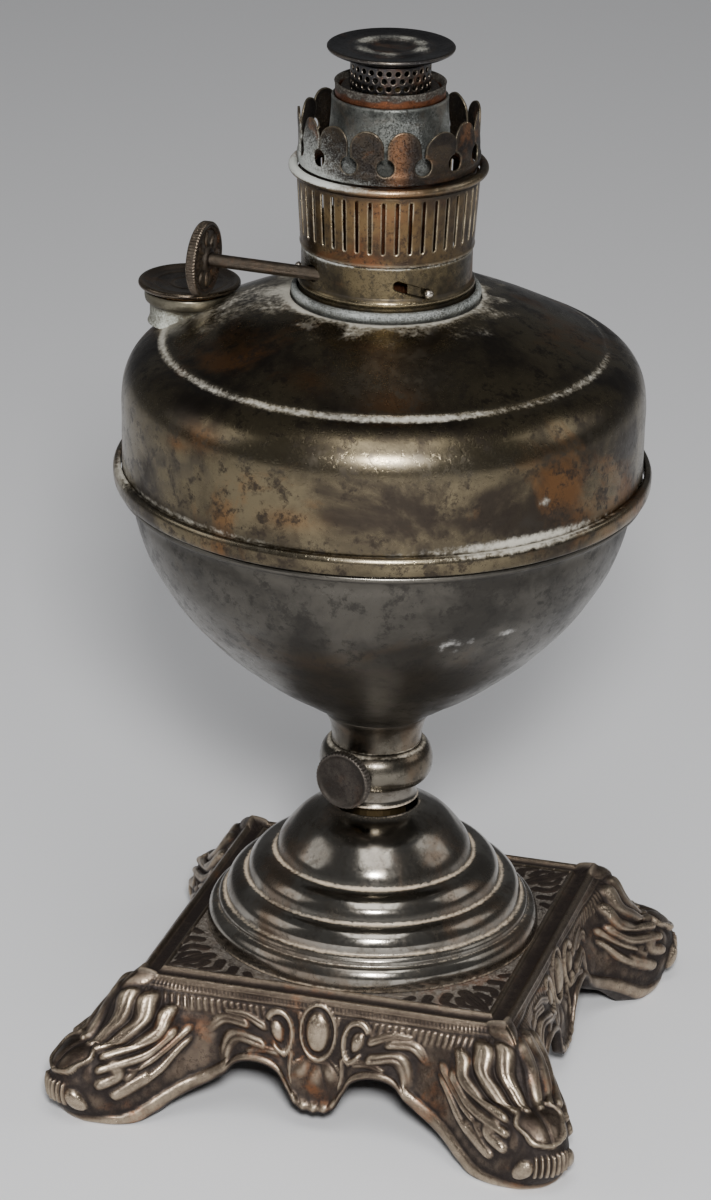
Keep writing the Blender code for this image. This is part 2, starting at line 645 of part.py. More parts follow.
def rack(name, face, back, width, low, high, mesh_z):
    """Toothed bar beside the axis: teeth point to -X from x = face, with a gap at mesh_z."""
    first = math.ceil((low - mesh_z) / TOOTH_PITCH - 0.5)
    last = math.floor((high - mesh_z) / TOOTH_PITCH - 0.5)
    outline = [(back, low), (back, high), (face, high)]
    for i in range(last, first - 1, -1):
        z = mesh_z + (i + 0.5) * TOOTH_PITCH
        tip = face - ADDENDUM - DEDENDUM
        outline += [(face, z + TOOTH_ROOT_W / 2), (tip, z + TOOTH_TIP_W / 2),
                    (tip, z - TOOTH_TIP_W / 2), (face, z - TOOTH_ROOT_W / 2)]
    outline.append((face, low))
    bar = prism(name, outline, width, "old_brass")
    stand = Matrix.Rotation(math.radians(90.0), 4, "X")
    bar.data.transform(stand)
    return bar


def wick_parts():
    """Tubular wick, and the carrier band that grips it with a rack outside the wick tube."""
    ring("wick", WICK_BORE, WICK_R, 140.0, WICK_TOP, "cotton")
    carrier = ring("wick_carrier", CARRIER_BORE, CARRIER_R, 258.0, 272.0, "old_brass")
    pitch_r = WICK_TEETH * TOOTH_PITCH / (2 * math.pi)
    face = SHAFT_OFFSET - pitch_r - DEDENDUM
    toothed = rack("wick_rack_bar", -face, -face + 0.6, 2.4, 256.0, 275.0, SHAFT_Z)
    turn_about_z(toothed, KEY_AXIS_AZ + 90.0)
    bridge = block("wick_rack_bridge", (face - 0.3 - CARRIER_BORE, 2.2, 12.0),
                   ((face - 0.3 + CARRIER_BORE) / 2, 0.0, 266.0), "old_brass")
    turn_about_z(bridge, KEY_AXIS_AZ - 90.0)
    cut(carrier, bridge, "UNION")
    cut(carrier, toothed, "UNION")


def wick_drive():
    """Key, shaft, pinion and the bracket that holds the shaft's inner end."""
    foot = shaft_foot()
    profile = [(0.0, 5.2), (JOURNAL_R, 5.2), (JOURNAL_R, -6.0), (SHAFT_R, -6.4),
               (SHAFT_R, -KEY_FAR - 1.2), (0.0, -KEY_FAR - 1.2)]
    aim(turned("wick_shaft", profile, "iron", SMALL), foot, KEY_AXIS_AZ)
    pinion("wick_pinion", WICK_TEETH, 3.0, JOURNAL_R + 0.25, foot, KEY_AXIS_AZ, 90.0)
    near, far = -KEY_FAR + KEY_T / 2, -KEY_FAR - KEY_T / 2
    key = [(SHAFT_R + GAP, near + 0.6), (3.6, near + 0.6), (4.2, near - 0.5), (9.8, near - 0.5),
           (10.2, near), (KEY_R, near - 0.3), (KEY_R, far + 0.3), (10.2, far), (9.8, far + 0.5),
           (4.2, far + 0.5), (3.6, far), (SHAFT_R + GAP, far)]
    aim(turned("wick_key", key, "iron", MID), foot, KEY_AXIS_AZ)
    bracket = block("shaft_bracket", (6.2, 1.2, 7.0), (SHAFT_OFFSET - 0.4, 3.9, SHAFT_Z),
                    "old_brass")
    turn_about_z(bracket, KEY_AXIS_AZ - 90.0)
    bore = rod("bracket_bore", JOURNAL_R + 0.25, -2.0, 8.0, "old_brass")
    cut(bracket, aim(bore, foot, KEY_AXIS_AZ))


# ---------------------------------------------------------------- flame spreader
def spreader():
    """Mushroom disc with its perforated thimble, on a long rod with a rack at the bottom."""
    disc = [(0.0, 328.2), (6.6, 328.2), (7.4, 328.9), (11.8, 329.0), (12.5, 328.5),
            (18.4, DISC_TOP), (DISC_R, 328.7), (18.6, 327.7), (12.3, 325.6), (11.6, 325.6),
            (11.6, 327.2), (0.0, 327.2)]
    turned("spreader_disc", disc, "dark_steel")
    bore = THIMBLE_R - THIMBLE_WALL
    ring("spreader_thimble", bore, THIMBLE_R, THIMBLE_LOW, THIMBLE_TOP, "dark_steel")
    spreader_rod()
    pitch_r = SPREADER_TEETH * TOOTH_PITCH / (2 * math.pi)
    face = pitch_r + DEDENDUM
    bar = rack("spreader_rack", face, face + 1.7, 2.4, 84.0, 104.0, KNOB_Z)
    turn_about_z(bar, KNOB_AZ + 90.0)


def spreader_rod():
    """Wire on the lamp's axis that cranks aside at the bottom to reach the rack's top end."""
    aside = 4.4
    route = [(0.0, 326.9), (0.0, 124.0), (0.4, 121.0), (2.2, 116.0), (4.0, 111.0),
             (aside, 108.0), (aside, 104.3)]
    curve = bpy.data.curves.new("spreader_rod_line", "CURVE")
    curve.dimensions = "3D"
    curve.bevel_depth = ROD_R * MM
    curve.bevel_resolution = 1
    curve.use_fill_caps = True
    spline = curve.splines.new("POLY")
    spline.points.add(len(route) - 1)
    for point, (x, z) in zip(spline.points, route):
        point.co = (x * MM, 0.0, z * MM, 1.0)
    turn_about_z(curve_to_mesh("spreader_rod", curve, "iron"), KNOB_AZ + 90.0)


def rod_guide():
    """Three-armed spider in the draught tube that keeps the rod on the axis."""
    body = ring("rod_guide", 9.6, DRAUGHT_BORE - GAP, 297.0, 300.0, "old_brass")
    for i in range(3):
        arm = block("rod_guide_arm_%d" % (i + 1), (8.6, 1.2, 2.4), (5.9, 0.0, 298.5), "old_brass")
        cut(body, turn_about_z(arm, 120.0 * i + 30.0), "UNION")
    cut(body, ring("rod_guide_hub", ROD_R + 0.35, 2.9, 296.8, 300.2, "old_brass", SMALL), "UNION")


def knob_parts():
    """Milled knob, shaft and pinion that raise the spreader's rod."""
    origin = (0.0, 0.0, KNOB_Z)
    pinion("spreader_pinion", SPREADER_TEETH, 3.6, 1.75, origin, KNOB_AZ, 90.0)
    aim(rod("spreader_shaft", 1.5, -2.6, KNOB_FAR - 1.5, "iron"), origin, KNOB_AZ)
    face = [(0.0, KNOB_FAR - 0.5), (7.6, KNOB_FAR - 0.5), (8.0, KNOB_FAR), (KNOB_R - 0.3, KNOB_FAR),
            (KNOB_R, KNOB_FAR - 0.4), (KNOB_R, KNOB_NEAR + 0.4), (KNOB_R - 0.3, KNOB_NEAR),
            (1.8, KNOB_NEAR), (1.8, KNOB_FAR - 1.2), (0.0, KNOB_FAR - 1.2)]
    aim(turned("spreader_knob", face, "iron", MID), origin, KNOB_AZ)


base_casting()
tie_parts()
stepped_dome()
knop()
stem_neck()
bowl()
font_top()
font_rim()
filler()
fixed_tubes()
burner_collar()
lift_ring()
basket()
gallery_rings()
coronet()
wick_parts()
wick_drive()
spreader()
rod_guide()
knob_parts()
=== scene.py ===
"""Finish of a nickel-plated brass table lamp with a round-wick burner.

Sizes are in millimetres until a mesh is made. The lamp stands on z = 0 with its axis on Z.
"""

import math

import bmesh
import bpy
import numpy as np
from mathutils import Matrix, Vector


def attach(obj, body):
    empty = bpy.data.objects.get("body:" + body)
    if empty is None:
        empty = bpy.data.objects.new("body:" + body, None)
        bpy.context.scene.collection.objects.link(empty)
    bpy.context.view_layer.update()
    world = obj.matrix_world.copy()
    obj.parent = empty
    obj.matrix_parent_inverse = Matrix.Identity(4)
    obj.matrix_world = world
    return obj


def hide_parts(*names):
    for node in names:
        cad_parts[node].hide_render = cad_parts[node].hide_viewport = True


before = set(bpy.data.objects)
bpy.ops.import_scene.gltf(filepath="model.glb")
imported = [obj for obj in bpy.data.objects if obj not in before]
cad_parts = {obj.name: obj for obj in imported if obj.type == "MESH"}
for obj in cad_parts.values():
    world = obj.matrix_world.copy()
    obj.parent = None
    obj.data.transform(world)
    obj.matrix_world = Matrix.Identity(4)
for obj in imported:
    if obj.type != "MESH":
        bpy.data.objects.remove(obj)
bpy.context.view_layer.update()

# ---------------------------------------------------------------- base casting
# One square casting of silvered bronze on four scroll feet, with scrolls, an oval boss and a
# palmette on each side and acanthus on the legs. It was cast from a carved pattern, chased,
# silvered and toned dark, and the high places have been rubbed bright.
MM = 0.001
ROOT_2 = math.sqrt(2)
BASE_HALF = 59.0
EDGE_TOP = 42.6
PLATE_TOP, PLATE_UNDER = 43.5, 40.2
LEG_START = 38.0
CASTING_WALL = 3.0
TUBE_HOLE = 9.9
SIDE_COLUMNS, LEG_COLUMNS, FACE_ROWS, PANEL_ROWS = 84, 95, 104, 33
APRON_LOW = np.array([(0, 7.4), (5, 8.4), (9, 14.0), (12, 19.2), (18, 21.6), (25, 20.4),
                      (29.5, 14.6), (LEG_START, 9.6)])
RIDGE = np.array([(83.0, 42.6), (90.0, 38.0), (95.2, 28.0), (98.6, 23.6), (105.0, 22.2),
                  (110.8, 17.6), (113.0, 11.2), (110.6, 4.4), (104.0, 0.0)])
INNER_RIDGE = np.array([(96.0, 0.0), (90.0, 14.0), (84.0, 30.0), (76.0, PLATE_UNDER)])


def ease(x):
    """Zero below 0, one above 1, and 3x^2 - 2x^3 between them."""
    x = np.clip(x, 0.0, 1.0)
    return x * x * (3 - 2 * x)


def bell(x, width):
    """Bell curve of height one: exp(-(x / width)^2)."""
    return np.exp(-(x / width) ** 2)


def half_round(x):
    """Half circle of height one: sqrt(1 - x^2), and zero beyond one."""
    return np.sqrt(np.clip(1 - x ** 2, 0, 1))


def flow(points, count):
    """Points evenly spaced along a smooth line through the given ones (cubic Hermite, with the
    slope at each point taken from its two neighbours)."""
    points = np.asarray(points, float)
    along = np.r_[0.0, np.cumsum(np.linalg.norm(np.diff(points, axis=0), axis=1))]
    slope = np.gradient(points, along, axis=0) if len(points) > 2 else np.repeat(
        np.diff(points, axis=0) / along[1], 2, axis=0)
    s = np.linspace(0.0, along[-1], count)
    k = np.clip(np.searchsorted(along, s, side="right") - 1, 0, len(points) - 2)
    h = (along[k + 1] - along[k])[:, None]
    x = (s - along[k])[:, None] / h
    return ((2 * x ** 3 - 3 * x ** 2 + 1) * points[k] + (x ** 3 - 2 * x ** 2 + x) * h * slope[k]
            + (3 * x ** 2 - 2 * x ** 3) * points[k + 1] + (x ** 3 - x ** 2) * h * slope[k + 1])


def uneven(a, b, seed, waves=9, finest=6.0):
    """Smooth unevenness from -1 to 1: a sum of sine waves in random directions over a and b."""
    pick = np.random.default_rng(seed)
    total = np.zeros(np.broadcast(a, b).shape)
    for _ in range(waves):
        turn, rate, start = pick.uniform(0, math.tau), pick.uniform(0.4, 1.0), pick.uniform(0, 9)
        step = math.tau * rate / finest
        total += np.sin(step * (math.cos(turn) * a + math.sin(turn) * b) + start)
    return total / math.sqrt(waves) / 1.5


def mesh_of(name, points, faces, marks=None, weld=False, outwards=False):
    """Mesh object from millimetre points and rows of corner numbers, with its named marks.

    A mark is a number for each point, such as how worn or how dirty the metal is there.
    """
    mesh = bpy.data.meshes.new(name)
    corners = np.concatenate([np.asarray(f).ravel() for f in faces]).astype(np.int32)
    sizes = np.concatenate([np.full(len(f), np.asarray(f).shape[1]) for f in faces])
    starts = np.r_[0, np.cumsum(sizes)[:-1]].astype(np.int32)
    mesh.vertices.add(len(points))
    mesh.vertices.foreach_set("co", (points * MM).astype(np.float32).ravel())
    mesh.loops.add(len(corners))
    mesh.loops.foreach_set("vertex_index", corners)
    mesh.polygons.add(len(starts))
    mesh.polygons.foreach_set("loop_start", starts)
    for mark, values in (marks or {}).items():
        layer = mesh.attributes.new(mark, "FLOAT", "POINT")
        layer.data.foreach_set("value", np.asarray(values, np.float32).ravel())
    mesh.update(calc_edges=True)
    mesh.validate()
    if weld or outwards:
        shape = bmesh.new()
        shape.from_mesh(mesh)
        if weld:
            bmesh.ops.remove_doubles(shape, verts=shape.verts, dist=0.002 * MM)
            bmesh.ops.dissolve_degenerate(shape, edges=shape.edges, dist=0.001 * MM)
        bmesh.ops.recalc_face_normals(shape, faces=shape.faces)
        shape.to_mesh(mesh)
        shape.free()
    mesh.shade_smooth()
    made = bpy.data.objects.new(name, mesh)
    bpy.context.scene.collection.objects.link(made)
    return made


def grid_faces(rows, columns, wrap_rows=False, wrap_columns=False):
    """Corner numbers of the four-sided faces of a grid, wrapped round where it closes."""
    number = np.arange(rows * columns).reshape(rows, columns)
    if wrap_rows:
        number = np.vstack([number, number[:1]])
    if wrap_columns:
        number = np.hstack([number, number[:, :1]])
    return np.stack([number[:-1, :-1], number[:-1, 1:], number[1:, 1:], number[1:, :-1]],
                    axis=-1).reshape(-1, 4)


def surface_normals(points):
    """Unit normals of a grid of points, from the cross product of its two directions."""
    across, down = np.gradient(points, axis=1), np.gradient(points, axis=0)
    normal = np.cross(across, down)
    return normal / np.maximum(np.linalg.norm(normal, axis=-1, keepdims=True), 1e-9)


def apron_face(t, part):
    """Outer face of a side: it leans out by 5.5 part^2 plus a slight swell, part going down."""
    line = flow(APRON_LOW, 200)
    low = np.interp(t, line[:, 0], line[:, 1])
    low = low - 0.55 * np.abs(np.cos(np.pi * t / 3.6)) * ease((10.0 - t) / 3.0)
    out = BASE_HALF + 5.5 * part ** 2 + 0.8 * np.sin(np.pi * part)
    return np.stack([out, t, EDGE_TOP - (EDGE_TOP - low) * part], axis=-1)


def leg_face(u, part):
    """Outer face of a leg: each row is a quarter ellipse from the apron's edge to the ridge."""
    start = apron_face(np.full_like(part, LEG_START), part)
    along = (start[..., 0] + start[..., 1]) / ROOT_2
    across = (start[..., 0] - start[..., 1]) / ROOT_2
    line = flow(RIDGE, 401)
    places = np.arange(len(line))
    step = np.interp(part * (len(RIDGE) - 1), np.arange(len(RIDGE)),
                     [np.argmin(np.hypot(*(line - p).T)) for p in RIDGE])
    reach = np.interp(step, places, line[:, 0])
    ridge_z = np.maximum(np.interp(step, places, line[:, 1]), 0.0)
    curved = ease(part / 0.35)
    forward = (1 - curved) * u + curved * np.sin(np.pi * u / 2)
    inward = (1 - curved) * (1 - u) + curved * np.cos(np.pi * u / 2)
    rho, p = along + (reach - along) * forward, across * inward
    low = APRON_LOW[-1, 1] * (1 - ease(u / 0.45))
    drop = part + ((EDGE_TOP - ridge_z) / EDGE_TOP - part) * ease(u)
    return np.stack([(rho + p) / ROOT_2, (rho - p) / ROOT_2,
                     EDGE_TOP - (EDGE_TOP - low) * drop], axis=-1)


def travelled(points, axis):
    """Distance walked over a grid of points, down its columns (0) or along its rows (1)."""
    step = np.linalg.norm(np.diff(points, axis=axis), axis=-1)
    return np.insert(np.cumsum(step, axis=axis), 0, 0.0, axis=axis)


def neighbour_mean(padded, reach, axis):
    """Average of each value and its neighbours, reach of them on both sides. The grid comes in
    with that many spare values at either end."""
    width, count = 2 * reach + 1, padded.shape[axis] - 2 * reach
    total = np.insert(np.cumsum(padded, axis=axis), 0, 0.0, axis=axis)
    return (total.take(range(width, width + count), axis)
            - total.take(range(count), axis)) / width


def fillet(face, seam):
    """Round the inner corner between a side and a leg: near it each point becomes the average
    of its neighbours along the row, three times over."""
    along = travelled(face, 1)
    weight = bell(along - along[:, seam:seam + 1], 9.0)[..., None] * 0.97
    for reach in (13, 13, 9):
        padded = np.concatenate([np.repeat(face[:, :1], reach, 1), face,
                                 np.repeat(face[:, -1:], reach, 1)], axis=1)
        face = face + (neighbour_mean(padded, reach, 1) - face) * weight
    return face


def leaf(a, b, path, wide, high, vein=0.0):
    """Rounded lobe along a curved path: high * (1 - (distance / width)^2)^0.75, tapering to its
    tip, with a sunk vein along its middle."""
    line = flow(path, 28)
    width = wide * (1 - 0.45 * np.linspace(0, 1, len(line)) ** 2)
    away = np.hypot(a[..., None] - line[:, 0], b[..., None] - line[:, 1])
    nearest = np.min(away / width, axis=-1)
    body = high * np.clip(1 - nearest ** 2, 0, 1) ** 0.75
    return body - vein * bell(nearest, 0.22) * (nearest < 1)


def oval(a, b, centre, half):
    """Distance from an oval's centre, counted so that its edge is at one."""
    return np.hypot((a - centre[0]) / half[0], (b - centre[1]) / half[1])


def apron_relief(a, z, down, to_edge, from_ridge):
    """Height of the carving on a side: pearled edge, gadroons, scrolls, oval boss, palmette,
    leaves and the rim along the arches. Overlapping forms take the higher one."""
    edge = 0.45 * bell(down - 0.3, 0.5) + 0.4 * bell(down - 2.7, 0.45)
    edge += 0.16 * (1 + np.cos(math.tau * a / 1.25)) * bell(down - 1.5, 0.6)
    ribs_from = ease((a - 16.5) / 2.0) * ease((from_ridge - 6.0) / 2.0)
    reach = 9.6 - 5.0 * (1 - ribs_from) * ease((a - 5.5) / 2)
    ribs = 0.55 * np.sqrt(np.clip(0.5 + 0.5 * np.cos(math.tau * a / 2.05), 0, 1))
    ribs *= ease((down - 3.6) / 0.8) * ease((reach - down) / 1.2) * (a > 5.5)
    ribs *= ease((from_ridge - 4.5) / 1.5)
    rim = 0.85 * half_round((to_edge - 1.3) / 1.5)
    turn = np.arctan2(z - 31.5, a - 13.4)
    ring = oval(a, z, (13.4, 31.5), (4.7, 6.3))
    open_part = ease((np.abs(turn) - 0.55) / 0.35) + ease((-turn - 1.2) / 0.3) * (turn > -2)
    scroll = 1.15 * half_round((ring - 1.0) / 0.2) * np.clip(open_part, 0, 1)
    knob = 1.5 * half_round(oval(a, z, (14.6, 31.8), (2.6, 3.5)))
    boss = oval(a, z, (0.0, 33.0), (4.1, 6.6))
    oval_boss = 2.3 * half_round(boss)
    collar = 1.0 * half_round((boss - 1.33) / 0.15)
    angle = np.arctan2(a, 27.5 - z)
    spoke = np.hypot(a, 27.5 - z)
    flutes = 0.9 * np.abs(np.cos(angle * 5.5)) ** 0.6 * bell(spoke - 9.0, 3.6) * (np.abs(angle) < 1)
    shell = 1.3 * np.abs(np.cos(np.pi * a / 3.6)) ** 0.7 * bell(to_edge - 1.8, 1.6) * (a < 10)
    bands = 0.7 * np.cos(math.tau * (z - 23.2) / 1.7) * bell(z - 23.2, 1.5) * bell(a, 3.2)
    leaves = [leaf(a, z, p, w, h, v) for p, w, h, v in (
        ([(19.5, 33.0), (24.5, 35.4), (30.0, 35.6)], 1.9, 1.1, 0.3),
        ([(25.5, 33.0), (31.5, 33.2), (37.5, 29.0)], 2.1, 1.2, 0.4),
        ([(22.0, 27.4), (29.0, 28.6), (34.5, 23.5), (37.5, 17.5)], 2.3, 1.3, 0.5),
        ([(17.0, 25.4), (21.5, 25.8), (27.0, 24.6)], 1.5, 0.7, 0.2),
        ([(9.0, 25.0), (10.2, 20.5), (9.4, 16.5)], 1.3, 0.8, 0.0))]
    sunk = -0.5 * bell(ring, 0.75) - 0.45 * bell(boss - 1.1, 0.14)
    return np.maximum.reduce([edge, ribs, rim, scroll, knob, oval_boss, collar, flutes, shell,
                              bands, *leaves]) + sunk


def leg_relief(w, s, to_edge):
    """Height of the carving on a leg, with w measured from the ridge and s down along it:
    corner boss, acanthus fingers, the leaf that folds over the foot, its ribs and ball."""
    wavy = w + 0.5 * np.sin(s * 0.9)
    fingers = [leaf(w, s, p, r, h, v) for p, r, h, v in (
        ([(3.8, 8.0), (5.2, 15.0), (3.6, 22.0), (2.6, 28.0)], 3.6, 2.2, 0.3),
        ([(10.4, 8.6), (12.4, 14.5), (9.6, 22.0), (6.6, 28.5)], 4.2, 2.5, 0.35),
        ([(19.4, 11.2), (21.2, 15.5), (16.8, 22.5), (11.4, 30.0)], 4.2, 2.4, 0.3),
        ([(26.6, 17.4), (24.6, 24.0), (18.8, 29.5), (13.8, 34.5)], 3.8, 2.1, 0.3),
        ([(32.4, 15.6), (30.0, 23.6), (26.4, 29.0)], 3.2, 1.6, 0.2),
        ([(15.8, 31.5), (20.0, 33.6), (16.0, 39.0)], 3.3, 1.9, 0.2),
        ([(37.5, 19.0), (36.5, 26.0), (31.6, 32.6)], 2.7, 1.3, 0.2),
        ([(30.6, 32.0), (26.0, 36.0), (21.4, 40.6)], 2.8, 1.4, 0.2),
        ([(24.0, 33.5), (25.2, 31.2), (22.4, 31.0)], 2.0, 1.3, 0.0))]
    folds = 0.36 * np.abs(np.sin(np.pi * (0.9 * w - 0.42 * (s - 8.0)) / 4.6)) ** 0.8
    folds *= 0.3 + 0.7 * ease((24.0 - w) / 6.0)
    folds *= ease((s - 11.0) / 3) * ease((42.0 - s) / 4) * ease((w - 7.0) / 3)
    boss = 1.7 * half_round(oval(w, s, (0.0, 2.2), (6.4, 4.9)))
    fold = oval(wavy, s, (0.0, 33.5), (8.4, 8.2))
    leaf_top = 1.2 * np.sqrt(np.clip(1 - fold ** 4, 0, 1)) - 0.5 * bell(w, 1.0) * (fold < 1)
    leaf_edge = 1.9 * half_round((fold - 0.92) / 0.13) * (s > 27)
    ribs = (0.6 + 0.7 * np.cos(math.tau * w / 1.75)) * ease((s - 43.2) / 1) * ease((52 - s) / 2)
    ribs *= ease((6.6 - w) / 1.0)
    ball = 2.1 * half_round(oval(w, s, (9.2, 47.4), (3.3, 3.6)))
    rim = 1.3 * half_round((to_edge - 2.4) / 2.6)
    mouth = -1.3 * bell(s - 42.0, 1.1) * ease((8.5 - w) / 2)
    return np.maximum.reduce([boss, folds, leaf_top, leaf_edge, ribs, ball, rim, *fingers]) + mouth


def plate_relief(x, y):
    """Flat leaf sprays engraved and raised in the corners of the top plate."""
    lean = (x + y) / ROOT_2
    side = np.abs(x - y) / ROOT_2
    sprays = [leaf(lean, side, p, r, h, v) for p, r, h, v in (
        ([(58.0, 0.0), (65.0, 0.6), (71.0, 0.0)], 2.2, 0.5, 0.3),
        ([(61.0, 3.4), (64.5, 4.6), (68.0, 2.6)], 1.6, 0.45, 0.2),
        ([(57.0, 5.4), (60.5, 8.6), (64.6, 7.0)], 1.8, 0.45, 0.25),
        ([(55.4, 11.2), (58.2, 13.6), (61.6, 11.6)], 1.7, 0.4, 0.2),
        ([(53.4, 16.0), (54.6, 19.4), (57.6, 17.2)], 1.4, 0.35, 0.15))]
    return np.maximum.reduce(sprays)


def plate_profile():
    """Height of the frame moulding against the distance from the middle of the base: a thin
    raised line, a sunk flat band, and a small roll on the edge."""
    return np.array([(51.6, 43.5), (51.95, 43.95), (52.45, 43.95), (52.8, 43.3), (53.3, 42.6),
                     (54.2, 42.3), (55.4, 42.25), (56.5, 42.4), (57.1, 43.0), (57.5, 43.55),
                     (58.0, 43.75), (58.4, 43.5), (58.75, 43.1)])


def casting_half():
    """Half of one side of the casting as a grid: closed sections that run from the tube hole
    over the plate, down the carved face, round the lower edge and back inside."""
    t, u = np.linspace(0, LEG_START, SIDE_COLUMNS), np.linspace(0, 1, LEG_COLUMNS + 1)[1:]
    part = np.linspace(0, 1, FACE_ROWS)[:, None]
    face = np.hstack([apron_face(*np.broadcast_arrays(t, part)),
                      leg_face(*np.broadcast_arrays(u, part))])
    top_row = face[:1].copy()
    face = fillet(face, SIDE_COLUMNS - 1)
    face += (top_row - face[:1]) * (1 - ease(part / 0.12))[..., None]
    slope = np.r_[t, LEG_START + (BASE_HALF - LEG_START) * u] / BASE_HALF
    moulding = plate_profile()
    frame_rows = np.stack([moulding[:, :1] * np.ones_like(slope), moulding[:, :1] * slope,
                           moulding[:, 1:] * np.ones_like(slope)], axis=-1)
    angle = np.arctan(slope)
    starts = np.minimum(50.5, 51.0 / np.cos(angle)) * np.cos(angle)
    share = np.linspace(0, 1, PANEL_ROWS + 1)[:-1, None]
    h = starts + (moulding[0, 0] - starts) * share
    panel = np.stack([h, h * slope, np.full_like(h, PLATE_TOP)], axis=-1)
    hole = np.stack([TUBE_HOLE * np.cos(angle), TUBE_HOLE * np.sin(angle)], axis=-1)
    hole_top = np.concatenate([hole, np.full((len(slope), 1), PLATE_TOP)], axis=-1)[None]
    hole_low = np.concatenate([hole, np.full((len(slope), 1), PLATE_UNDER)], axis=-1)[None]
    parts = np.array([1.0, 0.66, 0.33, 0.06])
    back = apron_face(*np.broadcast_arrays(t, parts[:, None]))
    back[..., 0] -= CASTING_WALL
    back[3, :, 2] = PLATE_UNDER
    edge = apron_face(np.full(4, LEG_START), parts)
    edge[:, 0] -= CASTING_WALL
    along, across = (edge[:, 0] + edge[:, 1]) / ROOT_2, (edge[:, 0] - edge[:, 1]) / ROOT_2
    rho = along[:, None] + (INNER_RIDGE[:, :1] - along[:, None]) * np.sin(np.pi * u / 2)
    p = across[:, None] * np.cos(np.pi * u / 2)
    z = edge[:, 2:] + (INNER_RIDGE[:, 1:] - edge[:, 2:]) * ease(u)
    z[0] = edge[0, 2] * (1 - ease(u / 0.45))
    z[3] = PLATE_UNDER
    leg_back = np.stack([(rho + p) / ROOT_2, (rho - p) / ROOT_2, z], axis=-1)
    inside = np.hstack([back, leg_back])
    return hole_top, panel, frame_rows, face, inside, hole_low


def carve(panel, frame_rows, face):
    """Raise the carving along the normals, and say where the metal is high or sunk."""
    down, a = travelled(face, 0), travelled(face, 1)
    to_edge, w = down[-1:] - down, a[:, -1:] - a
    fade = ease((a - 33.0) / 6.0)
    apron = apron_relief(a, face[..., 2], down, to_edge, w)
    height = apron * (1 - fade)
    height += np.maximum(leg_relief(w, down, to_edge), apron * ease((9.0 - down) / 1.5)) * fade
    height += 0.10 * uneven(a, down, 3, 12, 4.5) * ease((down - 4) / 3) * ease(w / 3) * ease(a / 3)
    height *= ease(to_edge / 0.8) * 0.85 + 0.15
    normal = surface_normals(face)
    normal[:, 0, 1] = 0.0
    flat = np.array([1.0, -1.0, 0.0]) / ROOT_2
    normal[:, -1] -= (normal[:, -1] @ flat)[:, None] * flat
    normal /= np.linalg.norm(normal, axis=-1, keepdims=True)
    if np.mean(normal[..., 0]) < 0:
        normal = -normal
    carved = face + normal * height[..., None]
    carved[..., 2] = np.maximum(carved[..., 2], 0.0)
    top = np.concatenate([panel, frame_rows])
    corner = 1.4 * half_round(oval(top[..., 0], top[..., 1], (58.2, 58.2), (5.6, 5.6)))
    top_height = plate_relief(top[..., 0], top[..., 1]) * (top[..., 0] < 51.9)
    top[..., 2] += np.maximum(top_height, corner)
    return carved, height, top, np.maximum(top_height, corner)


def soften(values, reach):
    """Average of a grid of values over a square of neighbours, for telling high from low."""
    for axis in (0, 1):
        padded = np.concatenate([np.flip(values.take(range(1, reach + 1), axis), axis), values,
                                 np.flip(values.take(range(-reach - 1, -1), axis), axis)], axis)
        values = neighbour_mean(padded, reach, axis)
    return values


hole_top, panel, frame_rows, face, inside, hole_low = casting_half()
carved, height, plate, plate_height = carve(panel, frame_rows, face)
section = np.concatenate([hole_top, plate, carved, inside, hole_low])
rise = 0.5 * (height - soften(height, 5)) + 0.5 * (height - soften(height, 11))
columns = face.shape[1]
frame_part = slice(1 + PANEL_ROWS, 1 + PANEL_ROWS + len(frame_rows))
out = frame_rows[..., 0]
rubbed = np.concatenate([np.zeros((1, columns)), np.zeros_like(plate_height), ease(rise / 0.55),
                         np.zeros((5, columns))])
rubbed[frame_part] += 0.75 * bell(out - 52.2, 0.5) + 0.7 * bell(out - 58.0, 0.7)
sunk = np.concatenate([np.zeros((1, columns)), 0.85 * ease(plate_height / 0.12),
                       ease(-rise / 0.4 + 0.15 * (height < 0.15)), np.full((5, columns), 0.7)])
sunk[frame_part] += 0.95 * ease((out - 52.9) / 0.6) * ease((57.2 - out) / 0.5)
pale_panel = np.zeros(section.shape[:2])
pale_panel[1:1 + PANEL_ROWS] = 0.55 * (1 - 1.3 * ease(plate_height[:PANEL_ROWS] / 0.1))


def mirrored(grid, flip_y=True):
    """Both halves of a side: the half is laid back to front with Y turned over, and joined."""
    other = grid[:, :0:-1].copy()
    if flip_y:
        other[..., 1] *= -1
    return np.concatenate([other, grid], axis=1)


